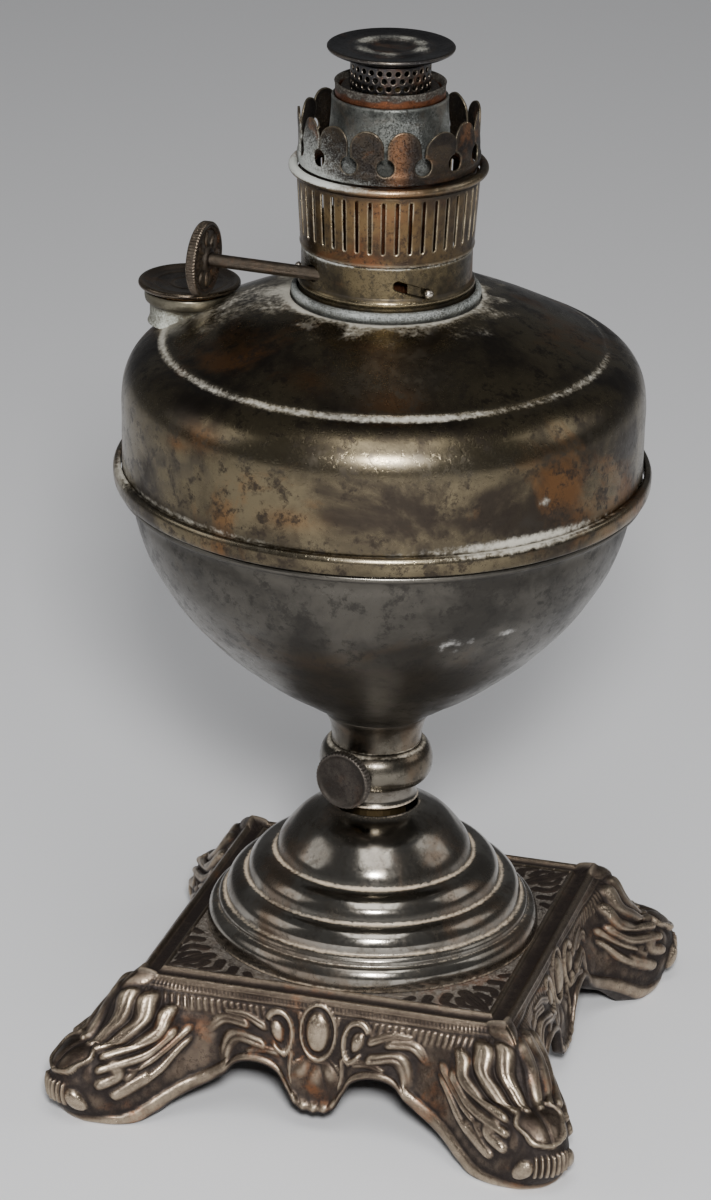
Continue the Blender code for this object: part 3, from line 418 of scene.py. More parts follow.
def aged_surface_group():
    """Node group shared by every old metal here: mottled tarnish, stains, rubbed high places,
    dirt in the low ones and pale residue, with the fine lines that turning leaves. On the
    font's top the rubbed mark also carries a painted highlight."""
    group = bpy.data.node_groups.new("aged_surface", "ShaderNodeTree")
    face_in = group.interface.new_socket
    face_in("Position", in_out="INPUT", socket_type="NodeSocketVector")
    for name in ("Base", "Dark", "Stain", "Bright", "Dirt", "Residue Tone"):
        face_in(name, in_out="INPUT", socket_type="NodeSocketColor")
    for name in ("Mottle Size", "Mottle", "Stains", "Rubbed", "Sunk", "Residue", "Heated",
                 "Roughness", "Lathe Lines", "Pits"):
        face_in(name, in_out="INPUT", socket_type="NodeSocketFloat")
    face_in("Color", in_out="OUTPUT", socket_type="NodeSocketColor")
    for name in ("Roughness", "Metallic", "Height"):
        face_in(name, in_out="OUTPUT", socket_type="NodeSocketFloat")
    nodes, links = group.nodes, group.links
    given, out = nodes.new("NodeGroupInput").outputs, nodes.new("NodeGroupOutput").inputs

    def noise(scale, detail, rough, source=None, warp=0.0):
        """Cloudy noise from 0 to 1 over the piece's own space, or over a moved copy of it."""
        node = nodes.new("ShaderNodeTexNoise")
        node.inputs["Detail"].default_value = detail
        node.inputs["Roughness"].default_value = rough
        node.inputs["Distortion"].default_value = warp
        links.new(source or given["Position"], node.inputs["Vector"])
        if isinstance(scale, (int, float)):
            node.inputs["Scale"].default_value = scale
        else:
            links.new(scale, node.inputs["Scale"])
        return node.outputs["Fac"]

    def spread(value, low, high, to_low=0.0, to_high=1.0):
        """Smooth step that goes from to_low at low to to_high at high."""
        node = nodes.new("ShaderNodeMapRange")
        node.interpolation_type = "SMOOTHSTEP"
        links.new(value, node.inputs["Value"])
        for name, amount in (("From Min", low), ("From Max", high), ("To Min", to_low),
                             ("To Max", to_high)):
            node.inputs[name].default_value = amount
        return node.outputs["Result"]

    def maths(kind, one, two, three=None):
        """One step of arithmetic on numbers or on the results of other nodes."""
        node = nodes.new("ShaderNodeMath")
        node.operation = kind
        for socket, value in zip(node.inputs, (one, two, three)):
            if isinstance(value, (int, float)):
                socket.default_value = value
            elif value is not None:
                links.new(value, socket)
        return node.outputs[0]

    def mix(amount, one, two):
        """Colour one, going over to colour two by the amount."""
        node = nodes.new("ShaderNodeMix")
        node.data_type = "RGBA"
        links.new(amount, node.inputs[0])
        links.new(one, node.inputs[6])
        links.new(two, node.inputs[7])
        return node.outputs[2]

    def times(one, two):
        """one * two."""
        return maths("MULTIPLY", one, two)

    def more(value, by, onto):
        """value * by + onto."""
        return maths("MULTIPLY_ADD", value, by, onto)

    def placed(socket, amounts):
        """The piece's own space, moved or stretched."""
        node = nodes.new("ShaderNodeMapping")
        node.inputs[socket].default_value = amounts
        links.new(given["Position"], node.inputs["Vector"])
        return node.outputs[0]

    moved, stretched = placed("Location", (0.31, 0.17, 0.53)), placed("Scale", (12, 12, 1500))
    size, residue = given["Mottle Size"], given["Residue"]
    mottle = spread(noise(size, 7.0, 0.62, warp=0.35), 0.40, 0.62)
    stain = spread(noise(times(size, 0.55), 6.0, 0.66, moved, 0.6), 0.53, 0.66)
    fine = noise(times(size, 22.0), 4.0, 0.7)
    broken = noise(times(size, 6.0), 7.0, 0.78, moved)
    lathe = noise(1.0, 2.0, 0.5, stretched)
    heated = times(given["Heated"], spread(broken, 0.30, 0.56, 0.35, 1.0))
    tinted = maths("MAXIMUM", times(stain, given["Stains"]), heated)
    speckle = times(spread(broken, 0.50, 0.60),
                    times(given["Mottle"], spread(fine, 0.3, 0.6, 0.4, 0.95)))
    dirt = times(given["Sunk"], spread(broken, 0.3, 0.55, 0.75, 1.0))
    bright = times(given["Rubbed"], spread(broken, 0.35, 0.62, 0.45, 1.0))
    loose = maths("ADD", more(broken, 1.1, -0.55), more(fine, 1.6, -0.8))
    crust = times(spread(maths("ADD", residue, loose), 0.10, 1.15),
                  spread(residue, 0.02, 0.4, 0.0, 0.93))
    color = given["Base"]
    for amount, tone in ((times(mottle, given["Mottle"]), "Dark"), (tinted, "Stain"),
                         (speckle, "Dark"), (dirt, "Dirt"), (bright, "Bright"),
                         (crust, "Residue Tone")):
        color = mix(amount, color, given[tone])
    rough = given["Roughness"]
    for part, share in ((mottle, 0.10), (stain, times(given["Stains"], 0.16)), (dirt, 0.28),
                        (bright, -0.12), (maths("SUBTRACT", fine, 0.5), 0.22), (speckle, 0.10),
                        (crust, 0.45)):
        rough = more(part, share, rough)
    metal = more(dirt, -0.45, more(crust, -0.95, 1.0))
    pits = times(spread(fine, 0.30, 0.46, -1.0, 0.0), given["Pits"])
    tall = more(maths("SUBTRACT", lathe, 0.5), given["Lathe Lines"], pits)
    tall = more(mottle, 0.08, more(crust, spread(fine, 0.3, 0.7, 0.5, 1.6), tall))
    for name, result in (("Color", color), ("Roughness", maths("MAXIMUM", rough, 0.08)),
                         ("Metallic", maths("MAXIMUM", metal, 0.0)), ("Height", tall)):
        links.new(result, out[name])
    return group


AGED = aged_surface_group()


def old_metal(name, base, dark, stain, bright, dirt=(0.03, 0.024, 0.018),
              residue=(0.62, 0.55, 0.43), mottle_size=45.0, mottle=0.8, stains=0.5,
              roughness=0.3, lathe=0.0, pits=0.15, depth=0.00005):
    """Material of one old finish, which reads its piece's marks: rubbed, sunk, residue, heated."""
    made = bpy.data.materials.new(name)
    made.use_nodes = True
    nodes, links = made.node_tree.nodes, made.node_tree.links
    shader = nodes["Principled BSDF"]
    surface = nodes.new("ShaderNodeGroup")
    surface.node_tree = AGED
    place = nodes.new("ShaderNodeTexCoord")
    links.new(place.outputs["Object"], surface.inputs["Position"])
    for socket, tone in (("Base", base), ("Dark", dark), ("Stain", stain), ("Bright", bright),
                         ("Dirt", dirt), ("Residue Tone", residue)):
        surface.inputs[socket].default_value = (*tone, 1.0)
    for socket, amount in (("Mottle Size", mottle_size), ("Mottle", mottle), ("Stains", stains),
                           ("Roughness", roughness), ("Lathe Lines", lathe), ("Pits", pits)):
        surface.inputs[socket].default_value = amount
    for mark, socket in (("rubbed", "Rubbed"), ("sunk", "Sunk"), ("residue", "Residue"),
                         ("heated", "Heated")):
        read = nodes.new("ShaderNodeAttribute")
        read.attribute_name = mark
        links.new(read.outputs["Fac"], surface.inputs[socket])
    bump = nodes.new("ShaderNodeBump")
    bump.inputs["Strength"].default_value = 1.0
    bump.inputs["Distance"].default_value = depth
    links.new(surface.outputs["Height"], bump.inputs["Height"])
    links.new(surface.outputs["Color"], shader.inputs["Base Color"])
    links.new(surface.outputs["Roughness"], shader.inputs["Roughness"])
    links.new(surface.outputs["Metallic"], shader.inputs["Metallic"])
    links.new(bump.outputs["Normal"], shader.inputs["Normal"])
    return made


def finish(obj, body, slot_name, metal, *nodes):
    """Give a piece its material and the body it moves with, and hide the CAD nodes it covers.
    slot_name is not used.
    """
    obj.data.materials.clear()
    obj.data.materials.append(metal)
    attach(obj, body)
    if nodes:
        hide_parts(*nodes)
    return obj


TONED_BRONZE = old_metal(
    "toned_silvered_bronze", base=(0.165, 0.126, 0.094), dark=(0.058, 0.042, 0.033),
    stain=(0.21, 0.095, 0.046), bright=(0.60, 0.49, 0.36), dirt=(0.018, 0.012, 0.010),
    residue=(0.34, 0.31, 0.27), mottle_size=75.0, mottle=0.95, stains=0.8, roughness=0.32, pits=0.6,
    depth=0.0001)

half_marks = {"rubbed": np.clip(0.7 * rubbed, 0, 1), "sunk": np.clip(sunk, 0, 1),
              "residue": np.clip(pale_panel, 0, 1)}
full = mirrored(section)
rows, columns = full.shape[:2]
side_faces = grid_faces(rows, columns, wrap_rows=True)
end_faces = np.arange(rows) * columns
marks = {mark: mirrored(half, flip_y=False).ravel() for mark, half in half_marks.items()}
for side, name in enumerate(("right", "back", "left", "front")):
    turn = math.radians(90 * side)
    swing = np.array([[math.cos(turn), math.sin(turn), 0], [-math.sin(turn), math.cos(turn), 0],
                      [0, 0, 1.0]])
    piece = mesh_of("casting_" + name, full.reshape(-1, 3) @ swing,
                    [side_faces, end_faces[None], (end_faces + columns - 1)[None, ::-1]], marks,
                    outwards=True)
    finish(piece, "root", "casting", TONED_BRONZE, "base_casting")

# ---------------------------------------------------------------- tie tube, nut and washer
# A threaded brass tube runs up through the base and draws the stem down onto it. A hexagon nut
# and a washer hold it from below, out of sight, so they keep the dull gold of raw old brass.
RAW_BRASS = old_metal("raw_old_brass", base=(0.30, 0.21, 0.10), dark=(0.12, 0.085, 0.045),
                      stain=(0.14, 0.16, 0.10), bright=(0.55, 0.42, 0.22), roughness=0.42,
                      mottle_size=90.0, pits=0.4)


def dress_cad(name, metal):
    """Put a material on a CAD piece that stays as it is."""
    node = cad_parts[name]
    node.data.materials.clear()
    node.data.materials.append(metal)


for node_name in ("tie_tube", "base_washer", "base_nut", "stem_bush"):
    dress_cad(node_name, RAW_BRASS)

# ---------------------------------------------------------------- stepped dome
# A dome of four rounded steps and a roll, spun from sheet brass, nickel plated and polished. Old
# polishing paste has dried to a cream line in the corner under each step.
SHEET = 0.9
DOME_STEPS = [
    [(13.6, 85.4), (18.4, 83.2), (22.8, 80.6), (26.8, 76.4), (29.7, 72.2), (31.0, 68.5)],
    [(31.0, 68.5), (33.6, 68.3), (36.0, 67.5), (38.6, 65.0), (40.0, 60.9)],
    [(40.0, 60.9), (42.4, 60.6), (44.6, 59.2), (46.1, 56.6), (46.5, 53.7)],
    [(46.5, 53.7), (47.8, 53.5), (48.7, 52.6), (48.9, 51.0)],
    [(48.9, 51.0), (50.4, 50.6), (51.6, 49.0), (52.2, 46.4), (52.3, 43.8)]]
DOME_NECK = [[(12.6, 93.4), (12.55, 91.6), (12.7, 89.4), (13.4, 87.8)]]


def outline(runs, step=0.45):
    """Dense profile down the outer side: each run is smooth, and two runs meet at a corner."""
    lines = []
    for run in runs:
        length = np.sum(np.linalg.norm(np.diff(np.array(run), axis=0), axis=1))
        lines.append(flow(run, max(3, int(length / step) + 1)))
    return np.concatenate([line[:-1] for line in lines] + [lines[-1][-1:]])


def walled(line, wall):
    """Closed section of a sheet: the line, then the same line moved inwards by the wall."""
    way = np.gradient(line, axis=0)
    way /= np.maximum(np.linalg.norm(way, axis=1, keepdims=True), 1e-9)
    inner = line - wall * np.stack([-way[:, 1], way[:, 0]], axis=1)
    inner[:, 0] = np.maximum(inner[:, 0], 0.2)
    return np.concatenate([line, inner[::-1]])


def corner_lines(line, places):
    """How much residue lies near each (radius, height, width, amount) place on a profile."""
    total = np.zeros(len(line))
    for r, z, width, amount in places:
        total += amount * bell(np.hypot(line[:, 0] - r, line[:, 1] - z), width)
    return total


def turned(name, section, facets=192, lines=(), rubbed=(), sunk=(), patchy=0.45, seed=5,
           uneven_by=0.0, centre=(0.0, 0.0), relief=None):
    """Surface swept round an axis: the point at angle t is (r cos t, r sin t, z) of the section.

    lines, rubbed and sunk are places on the section that carry residue, wear or dirt, and patchy
    says how far these fade in and out round the piece. relief adds height along the axis.
    """
    angle = np.linspace(0, math.tau, facets, endpoint=False)
    r, z = section[:, :1], section[:, 1:]
    east, north = 40.0 * np.cos(angle), 40.0 * np.sin(angle)
    bulge = uneven_by * uneven(east, north + z, seed + 1, 7, 60.0) * (r > 1.0)
    x, y = (r + bulge) * np.cos(angle), (r + bulge) * np.sin(angle)
    points = np.stack(np.broadcast_arrays(x, y, z), axis=-1)
    if relief is not None:
        points[..., 2] += relief(*np.broadcast_arrays(r, angle, z))
    fade = 1 - patchy + patchy * uneven(east, north + z, seed, 9, 26.0)
    marks = {mark: np.clip(corner_lines(section, places)[:, None] * fade, 0, 1.3)
             for mark, places in (("residue", lines), ("rubbed", rubbed), ("sunk", sunk))}
    points[..., :2] += centre
    faces = grid_faces(len(section), facets, wrap_rows=True, wrap_columns=True)
    on_axis = bool(np.min(section[:, 0]) < 0.01)
    return mesh_of(name, points.reshape(-1, 3), [faces], marks, weld=on_axis, outwards=True)


POLISHED_NICKEL = old_metal(
    "polished_old_nickel", base=(0.31, 0.288, 0.25), dark=(0.115, 0.098, 0.078),
    stain=(0.20, 0.115, 0.06), bright=(0.62, 0.58, 0.50), residue=(0.60, 0.49, 0.36),
    mottle_size=38.0, mottle=0.75, stains=0.45, roughness=0.13, lathe=0.05, pits=0.12,
    depth=0.00004)

dome_corners = [(31.3, 68.4, 0.85, 1.4), (40.3, 60.8, 0.8, 1.35), (46.8, 53.6, 0.85, 1.35),
                (49.1, 51.0, 0.35, 0.85), (52.4, 43.7, 0.9, 1.2), (14.0, 85.3, 0.5, 0.5)]
dome = turned("stepped_dome_skin", walled(outline(DOME_STEPS), SHEET), 256, dome_corners,
              sunk=[(r, z, 1.6, 0.5) for r, z, _, _ in dome_corners], patchy=0.35, uneven_by=0.10)
finish(dome, "root", "bright_nickel", POLISHED_NICKEL, "stepped_dome")
neck = turned("dome_neck_skin", walled(outline(DOME_NECK, 0.25), SHEET), 160,
              [(13.3, 87.9, 0.6, 1.1)], sunk=[(12.6, 93.4, 1.2, 0.7)], patchy=0.3)
finish(neck, "root", "bright_nickel", POLISHED_NICKEL, "dome_neck")

# ---------------------------------------------------------------- knop and stem neck
# The knop is a turned brass ring that carries the bearing of the lower knob. The stem's neck
# above it flares up into the font. Both are nickel plated, and paste has dried on top of the
# knop.
DARK_NICKEL = old_metal(
    "tarnished_nickel", base=(0.165, 0.148, 0.118), dark=(0.062, 0.053, 0.042),
    stain=(0.17, 0.10, 0.05), bright=(0.46, 0.40, 0.31), residue=(0.52, 0.47, 0.38),
    mottle_size=42.0, mottle=0.85, stains=0.35, roughness=0.23, lathe=0.06, pits=0.22)
knop_line = outline([[(14.0, 106.1), (15.2, 105.7), (16.6, 104.2), (17.5, 101.6), (17.7, 99.2),
                      (17.3, 96.9), (16.0, 94.7), (14.6, 93.9)]], 0.3)
knop_section = np.concatenate([knop_line, [(12.2, 93.9), (12.2, 106.0)]])
knop = turned("knop_skin", knop_section, 192, [(14.9, 105.7, 0.9, 1.05)],
              sunk=[(14.6, 93.9, 1.0, 0.9), (14.0, 106.1, 0.5, 0.8)], patchy=0.3)
finish(knop, "root", "nickel", DARK_NICKEL, "knop")
dress_cad("knob_bush", RAW_BRASS)
stem = turned("stem_neck_skin", walled(outline(
    [[(16.9, 117.0), (15.4, 114.4), (14.5, 111.6), (14.0, 108.6), (13.9, 106.3)]], 0.3), SHEET),
    192, [(13.9, 106.4, 0.5, 0.9)], sunk=[(16.8, 116.8, 0.9, 0.9)], patchy=0.4)
finish(stem, "root", "nickel", DARK_NICKEL, "stem_neck")

# ---------------------------------------------------------------- lower knob
# A milled iron knob on a short shaft. It turns the pinion that lifts the flame spreader's rod.
# Its face is a shallow dish, and it has rusted to a dull charcoal.
KNOB_AZ, KNOB_Z = 255.4, 99.3
KNOB_R, KNOB_NEAR, KNOB_FAR = 9.3, 18.4, 21.4
DULL_IRON = old_metal(
    "dull_old_iron", base=(0.075, 0.064, 0.055), dark=(0.035, 0.03, 0.027),
    stain=(0.11, 0.055, 0.03), bright=(0.24, 0.21, 0.18), mottle_size=110.0, stains=0.35,
    roughness=0.46, pits=0.8, depth=0.00009)


def aimed(origin, azimuth):
    """Turn and shift that put local Z along a horizontal azimuth and local X upwards."""
    a = math.radians(azimuth)
    ahead, up = np.array([math.cos(a), math.sin(a), 0.0]), np.array([0.0, 0.0, 1.0])
    return np.stack([up, np.cross(ahead, up), ahead], axis=1), np.asarray(origin, float)


def disc_piece(name, section, facets, teeth, deep, rim, place, relief=None, marks=None):
    """Closed disc on its own axis. Beyond the radius rim it is milled into teeth: there r loses
    deep * (1 + cos(teeth * t)) / 2."""
    angle = np.linspace(0, math.tau, facets, endpoint=False)
    on_rim = ease((section[:, :1] - rim) / 0.25)
    r = section[:, :1] - on_rim * deep * (0.5 + 0.5 * np.cos(teeth * angle))
    angle, z = np.broadcast_arrays(angle, section[:, 1:])
    shades = {mark: values(r, angle) for mark, values in (marks or {}).items()}
    if relief is not None:
        z = z + relief(r, angle, z)
    points = np.stack([r * np.cos(angle), r * np.sin(angle), z], axis=-1).reshape(-1, 3)
    points = points @ place[0].T + place[1]
    faces = grid_faces(len(section), facets, wrap_rows=True, wrap_columns=True)
    return mesh_of(name, points, [faces], shades, weld=True, outwards=True)


knob_section = np.concatenate([
    flow([(0.0, 20.75), (4.0, 20.75), (7.4, 20.85)], 12), flow([(7.6, 20.95), (8.3, KNOB_FAR)], 4),
    flow([(8.6, KNOB_FAR), (9.1, 21.2), (KNOB_R, 20.8)], 5),
    flow([(KNOB_R, 20.3), (KNOB_R, 19.2)], 4),
    flow([(KNOB_R, 18.8), (9.05, 18.45), (8.6, KNOB_NEAR)], 5),
    [(5.0, KNOB_NEAR), (1.8, KNOB_NEAR), (0.0, KNOB_NEAR)]])
knob = disc_piece("lower_knob_milled", knob_section, 288, 48, 0.32, 8.9,
                  aimed((0, 0, KNOB_Z), KNOB_AZ),
                  marks={"rubbed": lambda r, t: 0.55 * ease((r - 8.2) / 0.8),
                         "sunk": lambda r, t: 0.5 * bell(r - 7.6, 0.4)})
finish(knob, "spreader_drive", "iron", DULL_IRON, "spreader_knob")
for node_name in ("spreader_shaft", "spreader_rod"):
    dress_cad(node_name, DULL_IRON)
for node_name in ("spreader_pinion", "spreader_rack", "rod_guide"):
    dress_cad(node_name, RAW_BRASS)

# ---------------------------------------------------------------- font
# The oil font is two spun halves of nickelled brass, soldered together under a rolled band. The
# upper half slopes to the burner with a groove round its shoulder. The plating has gone dark and
# blotchy, olive and tan where brass shows, with pale deposits from spilled oil and old polish.
FONT_BOWL = [[(79.2, 192.7), (79.9, 192.2), (80.0, 191.2), (79.2, 190.4)],
             [(79.2, 190.4), (77.0, 190.0), (76.2, 188.6), (75.6, 184.0), (73.6, 176.4),
              (71.0, 169.6), (67.2, 162.8), (62.4, 155.4), (56.2, 148.2), (49.6, 141.4),
              (42.6, 135.4), (37.4, 131.2), (32.4, 127.6), (27.6, 124.6), (23.2, 121.6),
              (19.6, 119.4), (17.2, 117.2)]]
FONT_TOP = [[(28.9, 252.1), (30.6, 251.9), (34.0, 251.0), (40.4, 249.2), (47.0, 246.5),
             (53.6, 243.6), (60.0, 240.5), (66.2, 237.4)],
            [(66.2, 237.4), (66.8, 236.7), (67.6, 236.5), (68.3, 236.0)],
            [(68.3, 236.0), (70.6, 235.2), (73.2, 233.6), (75.8, 231.2), (77.7, 228.2),
             (78.8, 225.0), (79.3, 221.4), (79.35, 212.0), (79.3, 202.0), (79.3, 193.4)]]


def blotches(around, z, places):
    """Soft spots on a turned wall, each at an azimuth and height with its own size."""
    total = np.zeros_like(z)
    for azimuth, height, wide, high, amount in places:
        away = (around - azimuth + 180.0) % 360.0 - 180.0
        total += amount * bell(away, wide) * bell(z - height, high)
    return total


def repaint(obj, mark, values):
    """Add to one of a piece's marks, with values worked out at its points."""
    layer = obj.data.attributes.get(mark) or obj.data.attributes.new(mark, "FLOAT", "POINT")
    now = np.zeros(len(obj.data.vertices), np.float32)
    layer.data.foreach_get("value", now)
    layer.data.foreach_set("value", (now + values).astype(np.float32))


def places_on(obj):
    """The x, y and z of a mesh's points in millimetres, and their azimuths in degrees."""
    co = np.zeros(len(obj.data.vertices) * 3, np.float32)
    obj.data.vertices.foreach_get("co", co)
    x, y, z = (co.reshape(-1, 3).astype(float) / MM).T
    return x, y, z, np.degrees(np.arctan2(y, x)) % 360


FONT_NICKEL = old_metal(
    "blotched_font_nickel", base=(0.172, 0.140, 0.086), dark=(0.040, 0.032, 0.026),
    stain=(0.25, 0.115, 0.04), bright=(0.42, 0.37, 0.27), residue=(0.45, 0.425, 0.36),
    mottle_size=30.0, mottle=0.95, stains=0.55, roughness=0.22, lathe=0.06, pits=0.4,
    depth=0.00006)
BOWL_NICKEL = old_metal(
    "gunmetal_bowl_nickel", base=(0.098, 0.090, 0.077), dark=(0.040, 0.037, 0.033),
    stain=(0.11, 0.07, 0.035), bright=(0.30, 0.28, 0.24), residue=(0.40, 0.39, 0.37),
    mottle_size=28.0, mottle=0.85, stains=0.4, roughness=0.3, lathe=0.10, pits=0.25)

bowl = turned("font_bowl_skin", walled(outline(FONT_BOWL, 0.8), SHEET), 288,
              [(79.4, 190.3, 0.5, 0.35)], rubbed=[(79.9, 192.0, 0.8, 0.5)],
              sunk=[(79.2, 190.4, 1.0, 1.0), (17.2, 117.2, 1.4, 0.8)], uneven_by=0.10, seed=21)
x, y, z, around = places_on(bowl)
deposits = 0.9 * blotches(around, z, [
    (303.0, 165.0, 2.6, 2.6, 1.3), (310.0, 166.5, 2.4, 1.2, 0.9), (318.0, 167.5, 3.0, 1.2, 0.9),
    (214.0, 180.0, 2.0, 2.0, 0.5), (262.0, 178.0, 30.0, 7.0, 0.16)])
repaint(bowl, "residue", deposits * ease((uneven(x, z, 8, 12, 5.0) + 0.6) / 0.6))
finish(bowl, "root", "nickel", BOWL_NICKEL, "bowl")

font_top = turned("font_top_skin", walled(outline(FONT_TOP, 0.6), SHEET), 320,
                  [(67.2, 236.6, 1.35, 1.35), (79.4, 199.4, 1.0, 0.6), (29.0, 252.0, 1.4, 1.2)],
                  rubbed=[(78.6, 226.0, 4.0, 0.35), (66.0, 237.6, 0.6, 0.5)],
                  sunk=[(79.4, 200.2, 1.8, 0.6)], patchy=0.4, uneven_by=0.14, seed=33)
x, y, z, around = places_on(font_top)
out, sloped = np.hypot(x, y), z > 236.0
ragged = uneven(x, y + z, 14, 14, 9.0)
pale = 0.62 * ease((42.0 + 6.0 * ragged - out) / 16.0) * sloped
pale += 0.55 * bell(around - 186.0, 26.0) * ease((58.0 + 6 * ragged - out) / 12.0) * sloped
pale += 0.9 * blotches(around, z, [(316.0, 200.6, 16.0, 1.3, 1.0), (205.0, 201.0, 9.0, 1.6, 0.7),
                                   (322.0, 211.0, 1.6, 1.6, 0.7)])
pale += 0.5 * bell(out - 63.0, 12) * bell(around - 186.0, 16.0) * sloped
repaint(font_top, "residue", pale)
black = 0.85 * blotches(around, z, [(232.0, 213.0, 7.0, 6.0, 1.0), (222.0, 206.0, 5.0, 7.0, 0.8),
                                    (242.0, 217.0, 4.0, 3.0, 0.8), (318.0, 205.5, 9.0, 2.2, 0.8)])
repaint(font_top, "sunk", black * ease((uneven(x, z, 18, 16, 5.0) + 0.4) / 0.5))
# Painted highlight: a bright patch on the front of the slope, where it faces the camera, added to
# the rubbed mark.
painted_front_highlight = 0.45 * bell(around - 287.0, 17.0) * bell(out - 50.0, 11.0)
repaint(font_top, "rubbed", painted_front_highlight * sloped)
repaint(font_top, "heated", 0.9 * blotches(around, z, [
    (243.0, 226.0, 5.0, 3.0, 0.9), (236.0, 222.0, 3.0, 2.0, 0.8), (318.0, 224.0, 4.0, 2.0, 0.6),
    (288.0, 240.0, 7.0, 2.6, 0.9), (262.0, 242.5, 7.0, 2.0, 0.5), (266.0, 208.0, 6.0, 3.0, 0.4)]))
finish(font_top, "root", "nickel", FONT_NICKEL, "font_top")

band_line = outline([[(80.5, 199.0), (81.3, 198.7), (81.8, 197.8), (81.9, 196.0), (81.7, 194.4),
                      (81.2, 193.3), (80.4, 193.0)]], 0.25)
band = turned("font_rim_band_skin", np.concatenate([band_line, [(80.2, 193.2), (79.7, 199.0)]]),
              288, [(80.0, 199.2, 0.6, 0.9)], rubbed=[(81.6, 198.6, 0.9, 0.75)],
              sunk=[(80.8, 193.0, 0.8, 0.9)], patchy=0.5, seed=41)
x, y, z, around = places_on(band)
repaint(band, "residue", blotches(around, z, [
    (316.0, 199.0, 17.0, 1.2, 0.9), (207.0, 198.6, 9.0, 1.6, 0.75)]))
finish(band, "root", "nickel", FONT_NICKEL, "font_rim_band")

# ---------------------------------------------------------------- filler
# A short neck soldered into the font's slope, a cork washer, and a screwed cap of dark bronze
# with turned rings. Oil and verdigris have dried pale on the neck below the cap.
FILLER = (63.1 * math.cos(math.radians(176.9)), 63.1 * math.sin(math.radians(176.9)))
FILLER_METAL = old_metal(
    "crusted_filler_nickel", base=(0.21, 0.19, 0.14), dark=(0.09, 0.08, 0.06),
    stain=(0.22, 0.21, 0.15), bright=(0.42, 0.38, 0.28), residue=(0.58, 0.60, 0.53),
    mottle_size=80.0, roughness=0.35, pits=0.5)
neck_line = outline([[(13.2, 246.0), (13.6, 245.8), (13.7, 245.2), (13.7, 243.6), (13.4, 242.6),
                      (12.6, 242.2)],
                     [(12.6, 242.2), (12.2, 241.4), (12.1, 239.6), (12.2, 237.2), (12.8, 235.6)]],
                    0.3)
neck_section = np.concatenate([neck_line, [(11.3, 235.2), (11.2, 240.0), (11.2, 246.0)]])
filler_neck = turned("filler_neck_skin", neck_section, 144,
                     [(12.2, 239.8, 2.2, 0.75), (12.9, 236.4, 2.0, 0.9)],
                     rubbed=[(13.7, 245.0, 0.7, 0.4)], sunk=[(12.6, 242.2, 0.6, 0.9)], patchy=0.35,
                     centre=FILLER, seed=52)
finish(filler_neck, "root", "nickel", FILLER_METAL, "filler_neck")

CORK = old_metal("oiled_cork", base=(0.36, 0.19, 0.07), dark=(0.18, 0.09, 0.035),
                 stain=(0.42, 0.25, 0.10), bright=(0.5, 0.32, 0.15), mottle_size=220.0,
                 roughness=0.6, pits=0.9, depth=0.00012)
washer_line = outline([[(13.0, 246.8), (13.25, 246.65), (13.3, 246.5), (13.2, 246.25),
                        (13.0, 246.2)]], 0.1)
washer = turned("filler_washer_skin", np.concatenate([washer_line, [(11.4, 246.2), (11.4, 246.8)]]),
                120, centre=FILLER)
finish(washer, "cap_seal", "cork", CORK, "filler_washer")

DARK_BRONZE = old_metal(
    "dark_bronze_cap", base=(0.13, 0.105, 0.08), dark=(0.055, 0.045, 0.038),
    stain=(0.20, 0.11, 0.05), bright=(0.40, 0.32, 0.22), mottle_size=85.0, mottle=0.8,
    stains=0.45, roughness=0.2, lathe=0.12, pits=0.3)
cap_line = outline([
    [(0.0, 247.5), (3.0, 247.5), (5.2, 247.45)],
    [(5.2, 247.45), (5.6, 247.7), (6.1, 247.45)],
    [(6.1, 247.45), (8.4, 247.5), (10.2, 247.6)],
    [(10.2, 247.6), (10.6, 247.9), (11.1, 247.7)],
    [(11.1, 247.7), (12.6, 247.9), (13.6, 248.4), (14.4, 248.8), (15.1, 248.75), (15.6, 248.2),
     (15.6, 247.6), (15.2, 247.1), (14.6, 247.0)]], 0.22)
cap_section = np.concatenate([cap_line, [(10.8, 247.0), (10.8, 241.4), (9.9, 241.4), (9.9, 246.8),
                                         (0.0, 246.8)]])
cap = turned("filler_cap_skin", cap_section, 192, rubbed=[(14.9, 248.8, 0.8, 0.6)],
             sunk=[(5.2, 247.4, 0.5, 0.8), (11.1, 247.7, 0.7, 0.8), (13.0, 248.1, 0.9, 0.5)],
             patchy=0.3, centre=FILLER, seed=61)
finish(cap, "cap", "old_brass", DARK_BRONZE, "filler_cap")

# ---------------------------------------------------------------- draught tube and font collar
# The draught tube carries air up the middle of the lamp. Round it the font ends in a short zinc
# grey collar ring that the burner screws into, dusted white with dried oil.
dress_cad("draught_tube", RAW_BRASS)
GREY_ZINC = old_metal(
    "weathered_zinc", base=(0.175, 0.18, 0.165), dark=(0.055, 0.057, 0.052),
    stain=(0.17, 0.11, 0.065), bright=(0.40, 0.41, 0.38), residue=(0.50, 0.52, 0.50),
    mottle_size=95.0, mottle=0.95, stains=0.3, roughness=0.5, pits=1.6, depth=0.00016)
ring_line = outline([
    [(26.9, 255.2), (27.5, 255.2), (28.3, 254.8), (28.6, 254.0), (28.5, 252.6), (28.2, 252.0)],
    [(28.2, 252.0), (28.55, 251.4), (28.6, 249.0), (28.6, 246.9)]], 0.25)
ring_section = np.concatenate([ring_line, [(26.9, 246.9), (26.9, 255.0)]])
font_ring = turned("font_collar_skin", ring_section, 192, [(28.2, 254.4, 1.6, 0.95)],
                   sunk=[(28.2, 252.0, 0.5, 0.8)], patchy=0.3, seed=71)
finish(font_ring, "root", "zinc", GREY_ZINC, "font_collar")

# ---------------------------------------------------------------- wick tube and sleeve
# The outer wick tube has a slot for the wick's rack, and a brown heat band at its lip. A pitted
# grey sleeve stands round its upper end.
WICK_TUBE_R, WICK_TUBE_WALL, WICK_TUBE_TOP = 16.4, 0.7, 318.3
KEY_AZ = -4.4


